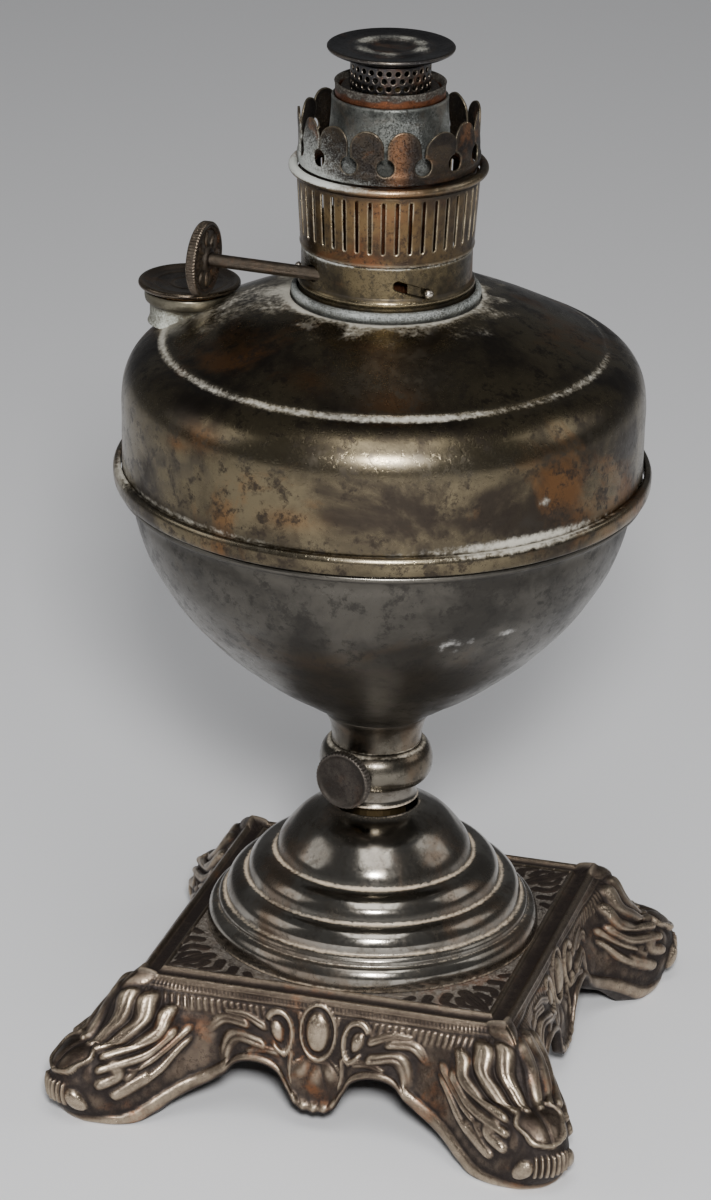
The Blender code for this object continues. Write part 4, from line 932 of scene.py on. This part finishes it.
def opened_wall(name, columns, heights, radius, wall, distance, passes=2):
    """Round wall with openings. distance(arc, z) is positive in the metal and negative in an
    opening, in millimetres. Cells whose middle is open are left out, and the points along each
    opening are moved onto its edge, so that it comes out smooth."""
    spacing = math.tau / columns
    angle, z = np.meshgrid(np.arange(columns) * spacing, np.asarray(heights, float))
    middle_r = float(np.mean(radius(heights)))
    arc = angle * middle_r
    metal = distance((arc + 0.5 * spacing * middle_r)[:-1], 0.5 * (z[:-1] + z[1:])) >= 0
    above = np.vstack([metal, metal[-1:]])
    below = np.vstack([metal[:1], metal])
    corners = np.stack([above, below, np.roll(above, 1, 1), np.roll(below, 1, 1)])
    border = corners.any(0) & ~corners.all(0)
    limit = 0.6 * max(spacing * middle_r, float(np.max(np.abs(np.diff(heights)))))
    for _ in range(passes):
        here = distance(arc, z)
        slope_a = (distance(arc + 0.02, z) - distance(arc - 0.02, z)) / 0.04
        slope_z = (distance(arc, z + 0.02) - distance(arc, z - 0.02)) / 0.04
        steep = np.maximum(slope_a ** 2 + slope_z ** 2, 0.2)
        arc = arc - np.where(border, np.clip(here * slope_a / steep, -limit, limit), 0)
        z = z - np.where(border, np.clip(here * slope_z / steep, -limit, limit), 0)
    angle = arc / middle_r
    r = radius(z)
    outer = np.stack([r * np.cos(angle), r * np.sin(angle), z], axis=-1)
    inner = np.stack([(r - wall) * np.cos(angle), (r - wall) * np.sin(angle), z], axis=-1)
    points = np.concatenate([outer.reshape(-1, 3), inner.reshape(-1, 3)])
    rows, count = len(heights), len(heights) * columns
    number = np.arange(count).reshape(rows, columns)
    after = np.roll(number, -1, axis=1)
    quads = np.stack([number[:-1], after[:-1], after[1:], number[1:]], axis=-1)
    faces = [quads[metal], quads[metal][:, ::-1] + count]
    side = metal != np.roll(metal, 1, axis=1)
    faces.append(np.stack([number[:-1], number[1:], number[1:] + count, number[:-1] + count],
                          axis=-1)[side])
    padded = np.vstack([np.zeros((1, columns), bool), metal, np.zeros((1, columns), bool)])
    level = padded[1:] != padded[:-1]
    faces.append(np.stack([number, after, after + count, number + count], axis=-1)[level])
    used = np.zeros(len(points), bool)
    for group in faces:
        used[group.ravel()] = True
    new_number = np.cumsum(used) - 1
    return mesh_of(name, points[used], [new_number[f] for f in faces if len(f)], outwards=True)


def around_arc(arc, radius, azimuth):
    """Distance along the wall from an azimuth, taken the short way round."""
    whole = math.tau * radius
    return (arc - math.radians(azimuth) * radius + whole / 2) % whole - whole / 2


def box_gap(a, z, half_a, low, high):
    """Distance outside a square-ended slot."""
    return np.maximum(np.abs(a) - half_a, np.maximum(low - z, z - high))


def wick_tube_slot(arc, z):
    """Distance from the slot that the wick's rack moves in."""
    a = around_arc(arc, WICK_TUBE_R, KEY_AZ - 90.0)
    return box_gap(a, z, 1.6, 245.5, 283.5)


SMOKED_BRASS = old_metal(
    "heat_browned_brass", base=(0.16, 0.062, 0.03), dark=(0.05, 0.026, 0.018),
    stain=(0.27, 0.10, 0.04), bright=(0.42, 0.25, 0.13), residue=(0.36, 0.34, 0.30),
    mottle_size=75.0, mottle=0.7, stains=0.9, roughness=0.38, pits=0.6, depth=0.00009)
wick_tube = opened_wall("wick_tube_skin", 200, np.linspace(240.0, WICK_TUBE_TOP, 118),
                        lambda z: WICK_TUBE_R + 0.25 * ease((z - WICK_TUBE_TOP + 1.0) / 0.9),
                        WICK_TUBE_WALL, wick_tube_slot)
x, y, z, around = places_on(wick_tube)
burnt = ease((z + 0.5 * uneven(x, y, 61, 9, 6.0) - 315.8) / 0.7)
repaint(wick_tube, "sunk", 1.1 * burnt)
repaint(wick_tube, "residue", 0.3 * burnt)
finish(wick_tube, "root", "old_brass", SMOKED_BRASS, "wick_tube")

sleeve_line = outline([[(16.9, 314.4), (17.25, 314.35), (17.35, 314.0), (17.35, 312.8)],
                       [(17.35, 312.8), (17.35, 292.2), (17.3, 292.0)]], 0.5)
sleeve = turned("wick_sleeve_skin", np.concatenate([sleeve_line, [(16.75, 292.0), (16.75, 314.3)]]),
                192, [(17.35, 308.0, 7.0, 0.42), (17.35, 297.0, 6.0, 0.55)], rubbed=[
                    (17.3, 314.3, 0.3, 0.6)], sunk=[(17.35, 293.0, 4.0, 0.5)], patchy=0.5, seed=83)
finish(sleeve, "root", "zinc", GREY_ZINC, "wick_sleeve")
dress_cad("burner_plate", RAW_BRASS)

# ---------------------------------------------------------------- wick and carrier
# The wick is a woven cotton tube, charred along its top edge. A toothed band grips it below.
WICK_BORE, WICK_R, WICK_LOW, WICK_TOP = 12.1, 14.7, 140.0, 317.0
COTTON = old_metal("charred_cotton", base=(0.30, 0.23, 0.15), dark=(0.16, 0.11, 0.07),
                   stain=(0.12, 0.08, 0.05), bright=(0.4, 0.33, 0.24), dirt=(0.016, 0.013, 0.011),
                   mottle_size=160.0, roughness=0.8, pits=1.4, depth=0.0002)
wick_line = outline([[(12.6, WICK_TOP), (13.4, 317.25), (14.2, WICK_TOP), (WICK_R, 316.3)],
                     [(WICK_R, 316.3), (WICK_R, 240.0), (WICK_R, 140.4), (14.4, WICK_LOW)]], 0.8)


def weave(r, angle, z):
    """Small ridges of the woven edge, so that the wick's top isn't even."""
    return 0.28 * np.cos(46 * angle) * np.cos(r * 5.0) * ease((z - 315.0) / 1.5)


wick_section = np.concatenate([wick_line, [(12.4, WICK_LOW), (WICK_BORE, 140.4),
                                           (WICK_BORE, 316.4)]])
wick = turned("wick_skin", wick_section, 230, sunk=[(13.4, WICK_TOP, 5.0, 1.2)], patchy=0.1,
              relief=weave, seed=91)
finish(wick, "wick_lift", "cotton", COTTON, "wick")
dress_cad("wick_carrier", RAW_BRASS)

# ---------------------------------------------------------------- burner collar
# A drawn brass collar stands fixed in the font ring. The wick shaft comes in through a hole in
# its side, and three slanted slots guide the pins that lift the gallery.
COLLAR_R, COLLAR_WALL = 25.7, 0.55
COLLAR_LINE = [(246.9, 26.3), (256.0, 26.3), (256.5, 26.4), (257.0, 26.65), (257.5, 26.65),
               (258.0, 26.45), (258.5, 26.05), (258.9, 25.7), (267.4, 25.7), (267.9, 25.8),
               (268.3, 25.75)]
SHAFT_OFFSET, SHAFT_Z, SHAFT_R = 20.2, 262.5, 2.0
PIN_AZ, PIN_Z, LIFT_TURN, LIFT_RISE, PIN_R = 314.0, 260.0, 18.2, 3.0, 1.05


def collar_radius(z):
    """Outside of the collar: straight lines between the (height, radius) pairs of its outline,
    which has a rolled foot and a slight lip."""
    heights, radii = zip(*COLLAR_LINE)
    return np.interp(z, heights, radii)


def collar_openings(arc, z):
    """Distance from the slanted slots and from the shaft's hole."""
    gap = np.full(np.broadcast(arc, z).shape, 1e3)
    for pin in range(3):
        a = around_arc(arc, COLLAR_R, PIN_AZ + 120.0 * pin)
        run, rise = -math.radians(LIFT_TURN) * COLLAR_R, LIFT_RISE
        share = np.clip((a * run + (z - PIN_Z) * rise) / (run ** 2 + rise ** 2), 0, 1)
        gap = np.minimum(gap, np.hypot(a - share * run, z - PIN_Z - share * rise) - PIN_R - 0.4)
    hole_az = KEY_AZ - 90.0 - math.degrees(math.acos(SHAFT_OFFSET / COLLAR_R))
    a = around_arc(arc, COLLAR_R, hole_az)
    wide = (SHAFT_R + 0.5) / (SHAFT_OFFSET / COLLAR_R)
    return np.minimum(gap, (np.hypot(a / wide, (z - SHAFT_Z) / (SHAFT_R + 0.5)) - 1) * SHAFT_R)


OLIVE_BRASS = old_metal(
    "olive_burner_brass", base=(0.135, 0.105, 0.058), dark=(0.045, 0.038, 0.028),
    stain=(0.25, 0.125, 0.05), bright=(0.46, 0.38, 0.24), residue=(0.46, 0.47, 0.44),
    mottle_size=60.0, mottle=0.95, stains=0.4, roughness=0.24, lathe=0.08, pits=0.4,
    depth=0.00006)
collar = opened_wall("burner_collar_skin", 520, np.r_[np.linspace(246.9, 255.6, 6),
                                                     np.linspace(256.0, 268.3, 44)],
                     collar_radius, COLLAR_WALL, collar_openings)
x, y, z, around = places_on(collar)
repaint(collar, "residue", 0.95 * bell(z - 268.2, 0.55) * (0.55 + 0.45 * uneven(x, y, 6, 12, 8.0))
        + 0.35 * ease((z - 262) / 6) * bell(around - 225.0, 28.0))
repaint(collar, "rubbed", 0.7 * bell(z - 257.3, 0.5) + 0.35 * bell(z - 268, 0.4))
repaint(collar, "sunk", 0.7 * bell(z - 258.7, 0.4) + 0.6 * ease((256.2 - z) / 2))
finish(collar, "root", "old_brass", OLIVE_BRASS, "burner_collar")

# ---------------------------------------------------------------- lift ring and pins
# A thin ring turns inside the collar. Its three tongues carry round-headed pins that climb the
# slanted slots, and so the gallery rises.
dress_cad("lift_ring", OLIVE_BRASS)
PIN_METAL = old_metal("bright_pin_nickel", base=(0.50, 0.44, 0.36), dark=(0.26, 0.2, 0.15),
                      stain=(0.35, 0.24, 0.14), bright=(0.75, 0.7, 0.62), mottle_size=200.0,
                      roughness=0.22, pits=0.3)
pin_section = np.concatenate([
    flow([(0.0, 27.5), (0.7, 27.4), (1.2, 27.0), (1.45, 26.4), (1.4, 26.0), (1.05, 25.9)], 16),
    [(1.05, 25.1), (0.0, 25.1)]])
for number in range(3):
    pin = disc_piece("lift_pin_head_%d" % (number + 1), pin_section, 32, 1, 0.0, 9.0,
                     aimed((0, 0, PIN_Z), PIN_AZ + 120.0 * number),
                     marks={"rubbed": lambda r, t: np.full_like(r, 0.6)})
    finish(pin, "cam_ring", "nickel", PIN_METAL, "lift_pin_%d" % (number + 1))

# ---------------------------------------------------------------- slotted basket and gallery
# The basket is drawn brass with forty-two slots for air. It carries a rolled bead, the ledge that
# the glass stands on, and a coronet of round-headed leaves that hold it, bent a little by use.
# Heat has turned the middle copper brown, and a pale crust sits on the bead and the coronet.
SLOTS, SLOT_R = 42, 26.7
BASKET_LOW, BASKET_TOP, GALLERY_WALL = 268.6, 290.4, 0.6
LOBES, LOBE_HOLE_R, LOBE_HOLE_Z, LOBE_HOLE_AZ = 15, 2.65, 299.5, 283.8
CORONET_R, CORONET_WALL, CORONET_LOW, CORONET_TOP = 27.0, 0.55, 294.0, 310.5


def basket_radius(z):
    """The basket widens from 26.0 at its foot to 27.4 under the bead, with a lip at its foot."""
    return 26.0 + 1.4 * (z - BASKET_LOW) / (BASKET_TOP - BASKET_LOW) + 0.25 * bell(z - 269.0, 0.5)


def basket_slots(arc, z):
    """Distance from the nearest slot, which has round ends."""
    pitch = math.tau * SLOT_R / SLOTS
    a = (arc + pitch / 2) % pitch - pitch / 2
    return np.hypot(a, np.maximum(np.maximum(273.35 - z, z - 288.45), 0.0)) - 0.5


BURNER_BRASS = old_metal(
    "heat_browned_basket", base=(0.155, 0.105, 0.05), dark=(0.045, 0.033, 0.026),
    stain=(0.19, 0.078, 0.036), bright=(0.50, 0.42, 0.29), residue=(0.50, 0.51, 0.47),
    mottle_size=52.0, mottle=0.95, stains=0.8, roughness=0.3, pits=0.6, depth=0.00008)
basket = opened_wall("slotted_basket_skin", SLOTS * 12, np.r_[
    np.linspace(BASKET_LOW, 272.4, 8), np.linspace(272.8, 273.4, 3), np.linspace(274.5, 287.5, 12),
    np.linspace(288.3, BASKET_TOP, 7)], basket_radius, GALLERY_WALL, basket_slots)
x, y, z, around = places_on(basket)
edge = np.abs(basket_slots(np.radians(around) * SLOT_R, z))
repaint(basket, "heated", 0.6 * bell(around - 283.0, 20.0) * ease((z - 268.0) / 16.0)
        * (0.7 + 0.5 * uneven(x, z, 15, 9, 7.0)))
repaint(basket, "rubbed", 1.1 * bell(edge, 0.24) * (0.55 + 0.45 * uneven(x, z, 12, 9, 6.0))
        + 0.4 * bell(z - 269, 0.4))
repaint(basket, "residue", 0.5 * bell(z - 268.7, 0.5)
        + 0.3 * bell(edge, 0.25) * (around > 215) * (around < 262))
repaint(basket, "sunk", 0.55 * ease((z - 288.6) / 1.5) + 0.45 * ease((around - 305) / 20))
finish(basket, "gallery", "old_brass", BURNER_BRASS, "slotted_basket")

angle = np.linspace(0, math.tau, 25)[:-1]
bead_section = np.stack([28.4 + 1.4 * np.cos(angle), 292.3 - 1.4 * np.sin(angle)], axis=1)
bead = turned("gallery_bead_skin", bead_section, 288, rubbed=[(29.6, 292.9, 0.9, 0.6)],
              sunk=[(27.8, 290.9, 1.0, 0.8), (29.0, 291.0, 0.9, 0.5)], seed=97)
x, y, z, around = places_on(bead)
repaint(bead, "residue", 1.9 * bell(around - 222.0, 38.0) * ease((z - 291.9) / 0.8))
repaint(bead, "heated", 0.7 * bell(around - 285.0, 22.0))
finish(bead, "gallery", "nickel", BURNER_BRASS, "gallery_bead")
ledge_section = np.concatenate([flow([(22.5, 291.9), (22.6, 292.35), (23.0, 292.4)], 5),
                                flow([(23.6, 292.4), (26.1, 292.4)], 6),
                                flow([(26.1, 291.4), (22.7, 291.4)], 8)])
ledge = turned("chimney_ledge_skin", ledge_section, 200, [(25.5, 292.4, 1.6, 0.5)], seed=98)
finish(ledge, "gallery", "old_brass", BURNER_BRASS, "chimney_ledge")


def coronet_metal(arc, z):
    """Distance inside a leaf: outside the round holes and the slits above them, and inside the
    round heads, which are half ovals 5.2 to each side and 5.8 high."""
    pitch = math.tau * CORONET_R / LOBES
    a = (around_arc(arc, CORONET_R, LOBE_HOLE_AZ) + pitch / 2) % pitch - pitch / 2
    hole = np.hypot(a, z - LOBE_HOLE_Z) - LOBE_HOLE_R
    slit = np.maximum(np.abs(a) - 0.5, LOBE_HOLE_Z - z)
    middle = pitch / 2 - np.abs(a)
    head = 5.2 * (1 - np.hypot(middle / 5.2, np.maximum(z - 304.6, 0) / 5.8))
    return np.minimum(np.minimum(hole, slit), np.where(z > 304.6, head, 9.0))


coronet = opened_wall("coronet_skin", LOBES * 34, np.linspace(CORONET_LOW, CORONET_TOP + 0.4, 50),
                      lambda z: CORONET_R + 0.35 * bell(z - 296.5, 1.2), CORONET_WALL,
                      coronet_metal)
x, y, z, around = places_on(coronet)
leaves_on = ((around - LOBE_HOLE_AZ) % 360) * LOBES / 360
leaf_number = np.floor(leaves_on).astype(int)
within = (leaves_on - leaf_number - 0.5) * 2
pick = np.random.default_rng(12)
tilt, twist, cup = (pick.uniform(low, high, LOBES)
                    for low, high in ((-1.3, 1.6), (-0.5, 0.5), (-0.5, 0.6)))
up = ease((z - 299.0) / 12.0)
push = up * (tilt[leaf_number] + twist[leaf_number] * within
             + cup[leaf_number] * (within ** 2 - 0.4) + 0.5 * uneven(x, y + z, 44, 8, 9.0))
bent = np.stack([x + np.cos(np.radians(around)) * push, y + np.sin(np.radians(around)) * push,
                 z - 0.35 * np.abs(push) * up], axis=1)
coronet.data.vertices.foreach_set("co", (bent * MM).astype(np.float32).ravel())
coronet.data.update()
SOOTED_BRASS = old_metal(
    "sooted_coronet_brass", base=(0.062, 0.048, 0.034), dark=(0.024, 0.021, 0.020),
    stain=(0.26, 0.12, 0.055), bright=(0.34, 0.29, 0.20), residue=(0.50, 0.52, 0.49),
    mottle_size=95.0, mottle=0.85, stains=0.5, roughness=0.42, pits=1.3, depth=0.00014)
near_edge = np.abs(coronet_metal(np.radians(around) * CORONET_R, z))
repaint(coronet, "rubbed", 0.45 * bell(near_edge, 0.2))
repaint(coronet, "heated", 0.6 * bell(around - 291.0, 6.0))
repaint(coronet, "residue", 0.13 + bell(around - 218.0, 30.0) * (0.75 - 0.05 * (z - 296))
        + 0.35 * bell(z - 294, 1.5) * bell(around - 240, 50))
finish(coronet, "gallery", "nickel", SOOTED_BRASS, "coronet")

# ---------------------------------------------------------------- wick key, shaft and pinion
# The key is a solid disc of cast iron with a ring of petals round its boss, a beaded border and
# a milled rim. Its rod runs into the collar beside the wick and ends in a pinion.
KEY_FAR, KEY_R, KEY_T = 50.8, 11.4, 3.0
shaft_foot = (SHAFT_OFFSET * math.cos(math.radians(KEY_AZ - 90)),
              SHAFT_OFFSET * math.sin(math.radians(KEY_AZ - 90)), SHAFT_Z)
BROWN_IRON = old_metal(
    "brown_old_iron", base=(0.070, 0.052, 0.038), dark=(0.028, 0.022, 0.019),
    stain=(0.20, 0.085, 0.035), bright=(0.36, 0.30, 0.23), residue=(0.40, 0.38, 0.34),
    mottle_size=130.0, mottle=0.8, stains=0.55, roughness=0.36, pits=0.7, depth=0.0001)
shaft_line = outline([
    [(0.0, 5.2), (0.9, 5.2), (1.15, 5.0)], [(1.2, 4.8), (1.2, -5.8)], [(1.9, -6.1), (2.0, -6.4)],
    [(2.0, -6.6), (2.0, -KEY_FAR + 2.5)],
    [(2.0, -KEY_FAR + 2.5), (2.0, -KEY_FAR - 1.9), (1.5, -KEY_FAR - 2.3), (0.0, -KEY_FAR - 2.4)]],
    0.8)
shaft = disc_piece("wick_shaft_rod", shaft_line, 48, 1, 0.0, 99.0, aimed(shaft_foot, KEY_AZ),
                   marks={"rubbed": lambda r, t: np.full_like(r, 0.25)})
finish(shaft, "wick_drive", "iron", BROWN_IRON, "wick_shaft")
key_near, key_far = -KEY_FAR + KEY_T / 2, -KEY_FAR - KEY_T / 2


def key_relief(r, angle, z):
    """Eight petals round the boss and sixty small beads by the rim, raised on both faces."""
    face = np.where(z > -KEY_FAR, 1.0, -1.0)
    turn = (angle + math.pi / 8) % (math.pi / 4) - math.pi / 8
    petal = oval(r * np.cos(turn), r * np.sin(turn), (6.3, 0.0), (2.5, 1.7))
    rise = 0.85 * half_round(petal) - 0.3 * bell(petal, 0.3)
    rise += 0.22 * bell(r - 9.35, 0.28) * (1 + np.cos(60 * angle))
    return face * rise * (r > 3.4) * (r < 10.0)


key_line = np.concatenate([
    flow([(2.2, key_near + 0.9), (3.0, key_near + 0.85), (3.6, key_near + 0.3)], 6),
    flow([(3.8, key_near - 0.5), (8.9, key_near - 0.5)], 26),
    flow([(9.0, key_near - 0.45), (9.4, key_near - 0.3), (9.9, key_near - 0.25),
          (10.3, key_near)], 10),
    flow([(10.4, key_near), (11.1, key_near - 0.1), (KEY_R, key_near - 0.5)], 6),
    flow([(KEY_R, key_near - 0.7), (KEY_R, key_far + 0.7)], 6),
    flow([(KEY_R, key_far + 0.5), (11.1, key_far + 0.1), (10.4, key_far)], 6),
    flow([(10.3, key_far), (9.9, key_far + 0.25), (9.4, key_far + 0.3), (9.0, key_far + 0.45)], 10),
    flow([(8.9, key_far + 0.5), (3.8, key_far + 0.5)], 26),
    flow([(3.6, key_far - 0.2), (2.2, key_far - 0.3)], 4)])
key = disc_piece("wick_key_disc", key_line, 360, 72, 0.35, 11.0, aimed(shaft_foot, KEY_AZ),
                 relief=key_relief,
                 marks={
                     "rubbed": lambda r, t: 0.3 * ease((r - 10.1) / 0.6) + 0.4 * bell(r - 6.3, 2.0),
                     "sunk": lambda r, t: 0.7 * (bell(r - 9.9, 0.3) + bell(r - 3.8, 0.4))})
finish(key, "wick_drive", "iron", BROWN_IRON, "wick_key")
for node_name in ("wick_pinion", "shaft_bracket"):
    dress_cad(node_name, RAW_BRASS)

# ---------------------------------------------------------------- flame spreader
# A mushroom disc of blued steel with a pale ring of ash round its hollow, over a thimble drilled
# with small staggered holes that feed air to the flame.
BLUED_STEEL = old_metal(
    "blued_steel", base=(0.060, 0.058, 0.060), dark=(0.028, 0.026, 0.026),
    stain=(0.15, 0.070, 0.035), bright=(0.30, 0.25, 0.19), residue=(0.36, 0.35, 0.30),
    mottle_size=80.0, mottle=0.75, stains=0.6, roughness=0.32, pits=0.6, depth=0.00008)
disc_line = outline([
    [(0.0, 328.15), (3.4, 328.15), (6.2, 328.2), (6.9, 328.5), (7.5, 328.9)],
    [(7.5, 328.9), (9.6, 329.0), (11.6, 328.95), (12.4, 328.6)],
    [(12.4, 328.6), (15.0, 328.85), (17.6, 329.15), (18.5, 329.2), (18.95, 328.95),
     (19.0, 328.55), (18.7, 328.0)],
    [(18.7, 328.0), (17.6, 327.4), (15.2, 326.6), (12.9, 325.9), (12.3, 325.6)]], 0.3)
disc_section = np.concatenate([disc_line, [(11.6, 325.6), (11.6, 327.2), (0.0, 327.2)]])
disc = turned("spreader_disc_skin", disc_section, 256, [(9.4, 329.0, 2.4, 0.95)],
              rubbed=[(18.9, 328.9, 0.6, 0.5), (7.4, 328.9, 0.5, 0.35)],
              sunk=[(3.0, 328.1, 3.4, 0.8), (12.6, 328.6, 0.9, 0.75)], patchy=0.35, seed=103)
finish(disc, "spreader", "dark_steel", BLUED_STEEL, "spreader_disc")
THIMBLE_R, THIMBLE_WALL, THIMBLE_LOW, THIMBLE_TOP = 12.0, 0.6, 313.3, 325.2
HOLES, HOLE_R = 28, 0.8


def thimble_holes(arc, z):
    """Distance from the nearest hole in four staggered rows."""
    pitch = math.tau * THIMBLE_R / HOLES
    gap = np.full(np.broadcast(arc, z).shape, 9.0)
    for row, height in enumerate((323.5, 321.2, 318.9, 316.6)):
        a = (arc + pitch / 2 * (row % 2 + 1)) % pitch - pitch / 2
        gap = np.minimum(gap, np.hypot(a, z - height) - HOLE_R)
    return gap


thimble = opened_wall("spreader_thimble_skin", HOLES * 12,
                      np.linspace(THIMBLE_LOW, THIMBLE_TOP, 50),
                      lambda z: np.full_like(z, THIMBLE_R), THIMBLE_WALL, thimble_holes)
x, y, z, around = places_on(thimble)
repaint(thimble, "rubbed", 0.55 * bell(thimble_holes(np.radians(around) * THIMBLE_R, z), 0.22))
repaint(thimble, "residue", 0.35 * ease((318.0 - z) / 4.0))
finish(thimble, "spreader", "dark_steel", BLUED_STEEL, "spreader_thimble")

# ---------------------------------------------------------------- floor, light and camera
# A pale matt table top, one soft lamp near the camera, broad fills on each side and above, and
# the camera more than a metre away, a little above and to the right.
FLOOR_HALF = 14.0
edge = np.linspace(-FLOOR_HALF, FLOOR_HALF, 9) / MM
gx, gy = np.meshgrid(edge, edge)
floor = mesh_of("table_top", np.stack([gx, gy, 0 * gx], axis=-1).reshape(-1, 3),
                [grid_faces(9, 9)])
PALE_TOP = bpy.data.materials.new("pale_matt_top")
PALE_TOP.use_nodes = True
top_shader = PALE_TOP.node_tree.nodes["Principled BSDF"]
top_shader.inputs["Base Color"].default_value = (0.80, 0.80, 0.81, 1.0)
top_shader.inputs["Roughness"].default_value = 0.85
floor.data.materials.append(PALE_TOP)


def soft_lamp(name, place, height, size, watts):
    """Square soft lamp that faces the lamp's axis at a height in metres."""
    light = bpy.data.lights.new(name, "AREA")
    light.size, light.energy = size, watts
    made = bpy.data.objects.new(name, light)
    bpy.context.scene.collection.objects.link(made)
    back = Vector(place) - Vector((0.0, 0.0, height))
    turn = back.to_track_quat("Z", "Y").to_matrix().to_4x4()
    made.matrix_world = Matrix.Translation(place) @ turn
    return made


lamps = [soft_lamp("front_lamp", (0.42, -1.35, 0.95), 0.16, 0.20, 34.0),
         soft_lamp("left_fill", (-1.6, -0.6, 1.0), 0.15, 1.0, 3.5),
         soft_lamp("right_fill", (1.5, 0.5, 1.2), 0.15, 1.0, 3.5),
         soft_lamp("top_fill", (0.3, -0.9, 2.0), 0.1, 1.2, 15.0)]
room = bpy.data.worlds.new("soft_room")
room.use_nodes = True
room.node_tree.nodes["Background"].inputs["Color"].default_value = (0.60, 0.61, 0.63, 1.0)
room.node_tree.nodes["Background"].inputs["Strength"].default_value = 0.20
bpy.context.scene.world = room

camera_data = bpy.data.cameras.new("camera")
camera_data.lens, camera_data.sensor_width = 141.5, 36.0
camera_data.clip_start, camera_data.clip_end = 0.05, 20.0
camera = bpy.data.objects.new("camera", camera_data)
bpy.context.scene.collection.objects.link(camera)
CAMERA_AT = Vector((0.35584, -1.29416, 0.70847))
CAMERA_RIGHT = Vector((0.96057, 0.27748, 0.01780))
CAMERA_UP = Vector((-0.12203, 0.36318, 0.92369))
turn = Matrix((CAMERA_RIGHT, CAMERA_UP, CAMERA_RIGHT.cross(CAMERA_UP))).transposed().to_4x4()
camera.matrix_world = Matrix.Translation(CAMERA_AT) @ turn
bpy.context.scene.camera = camera
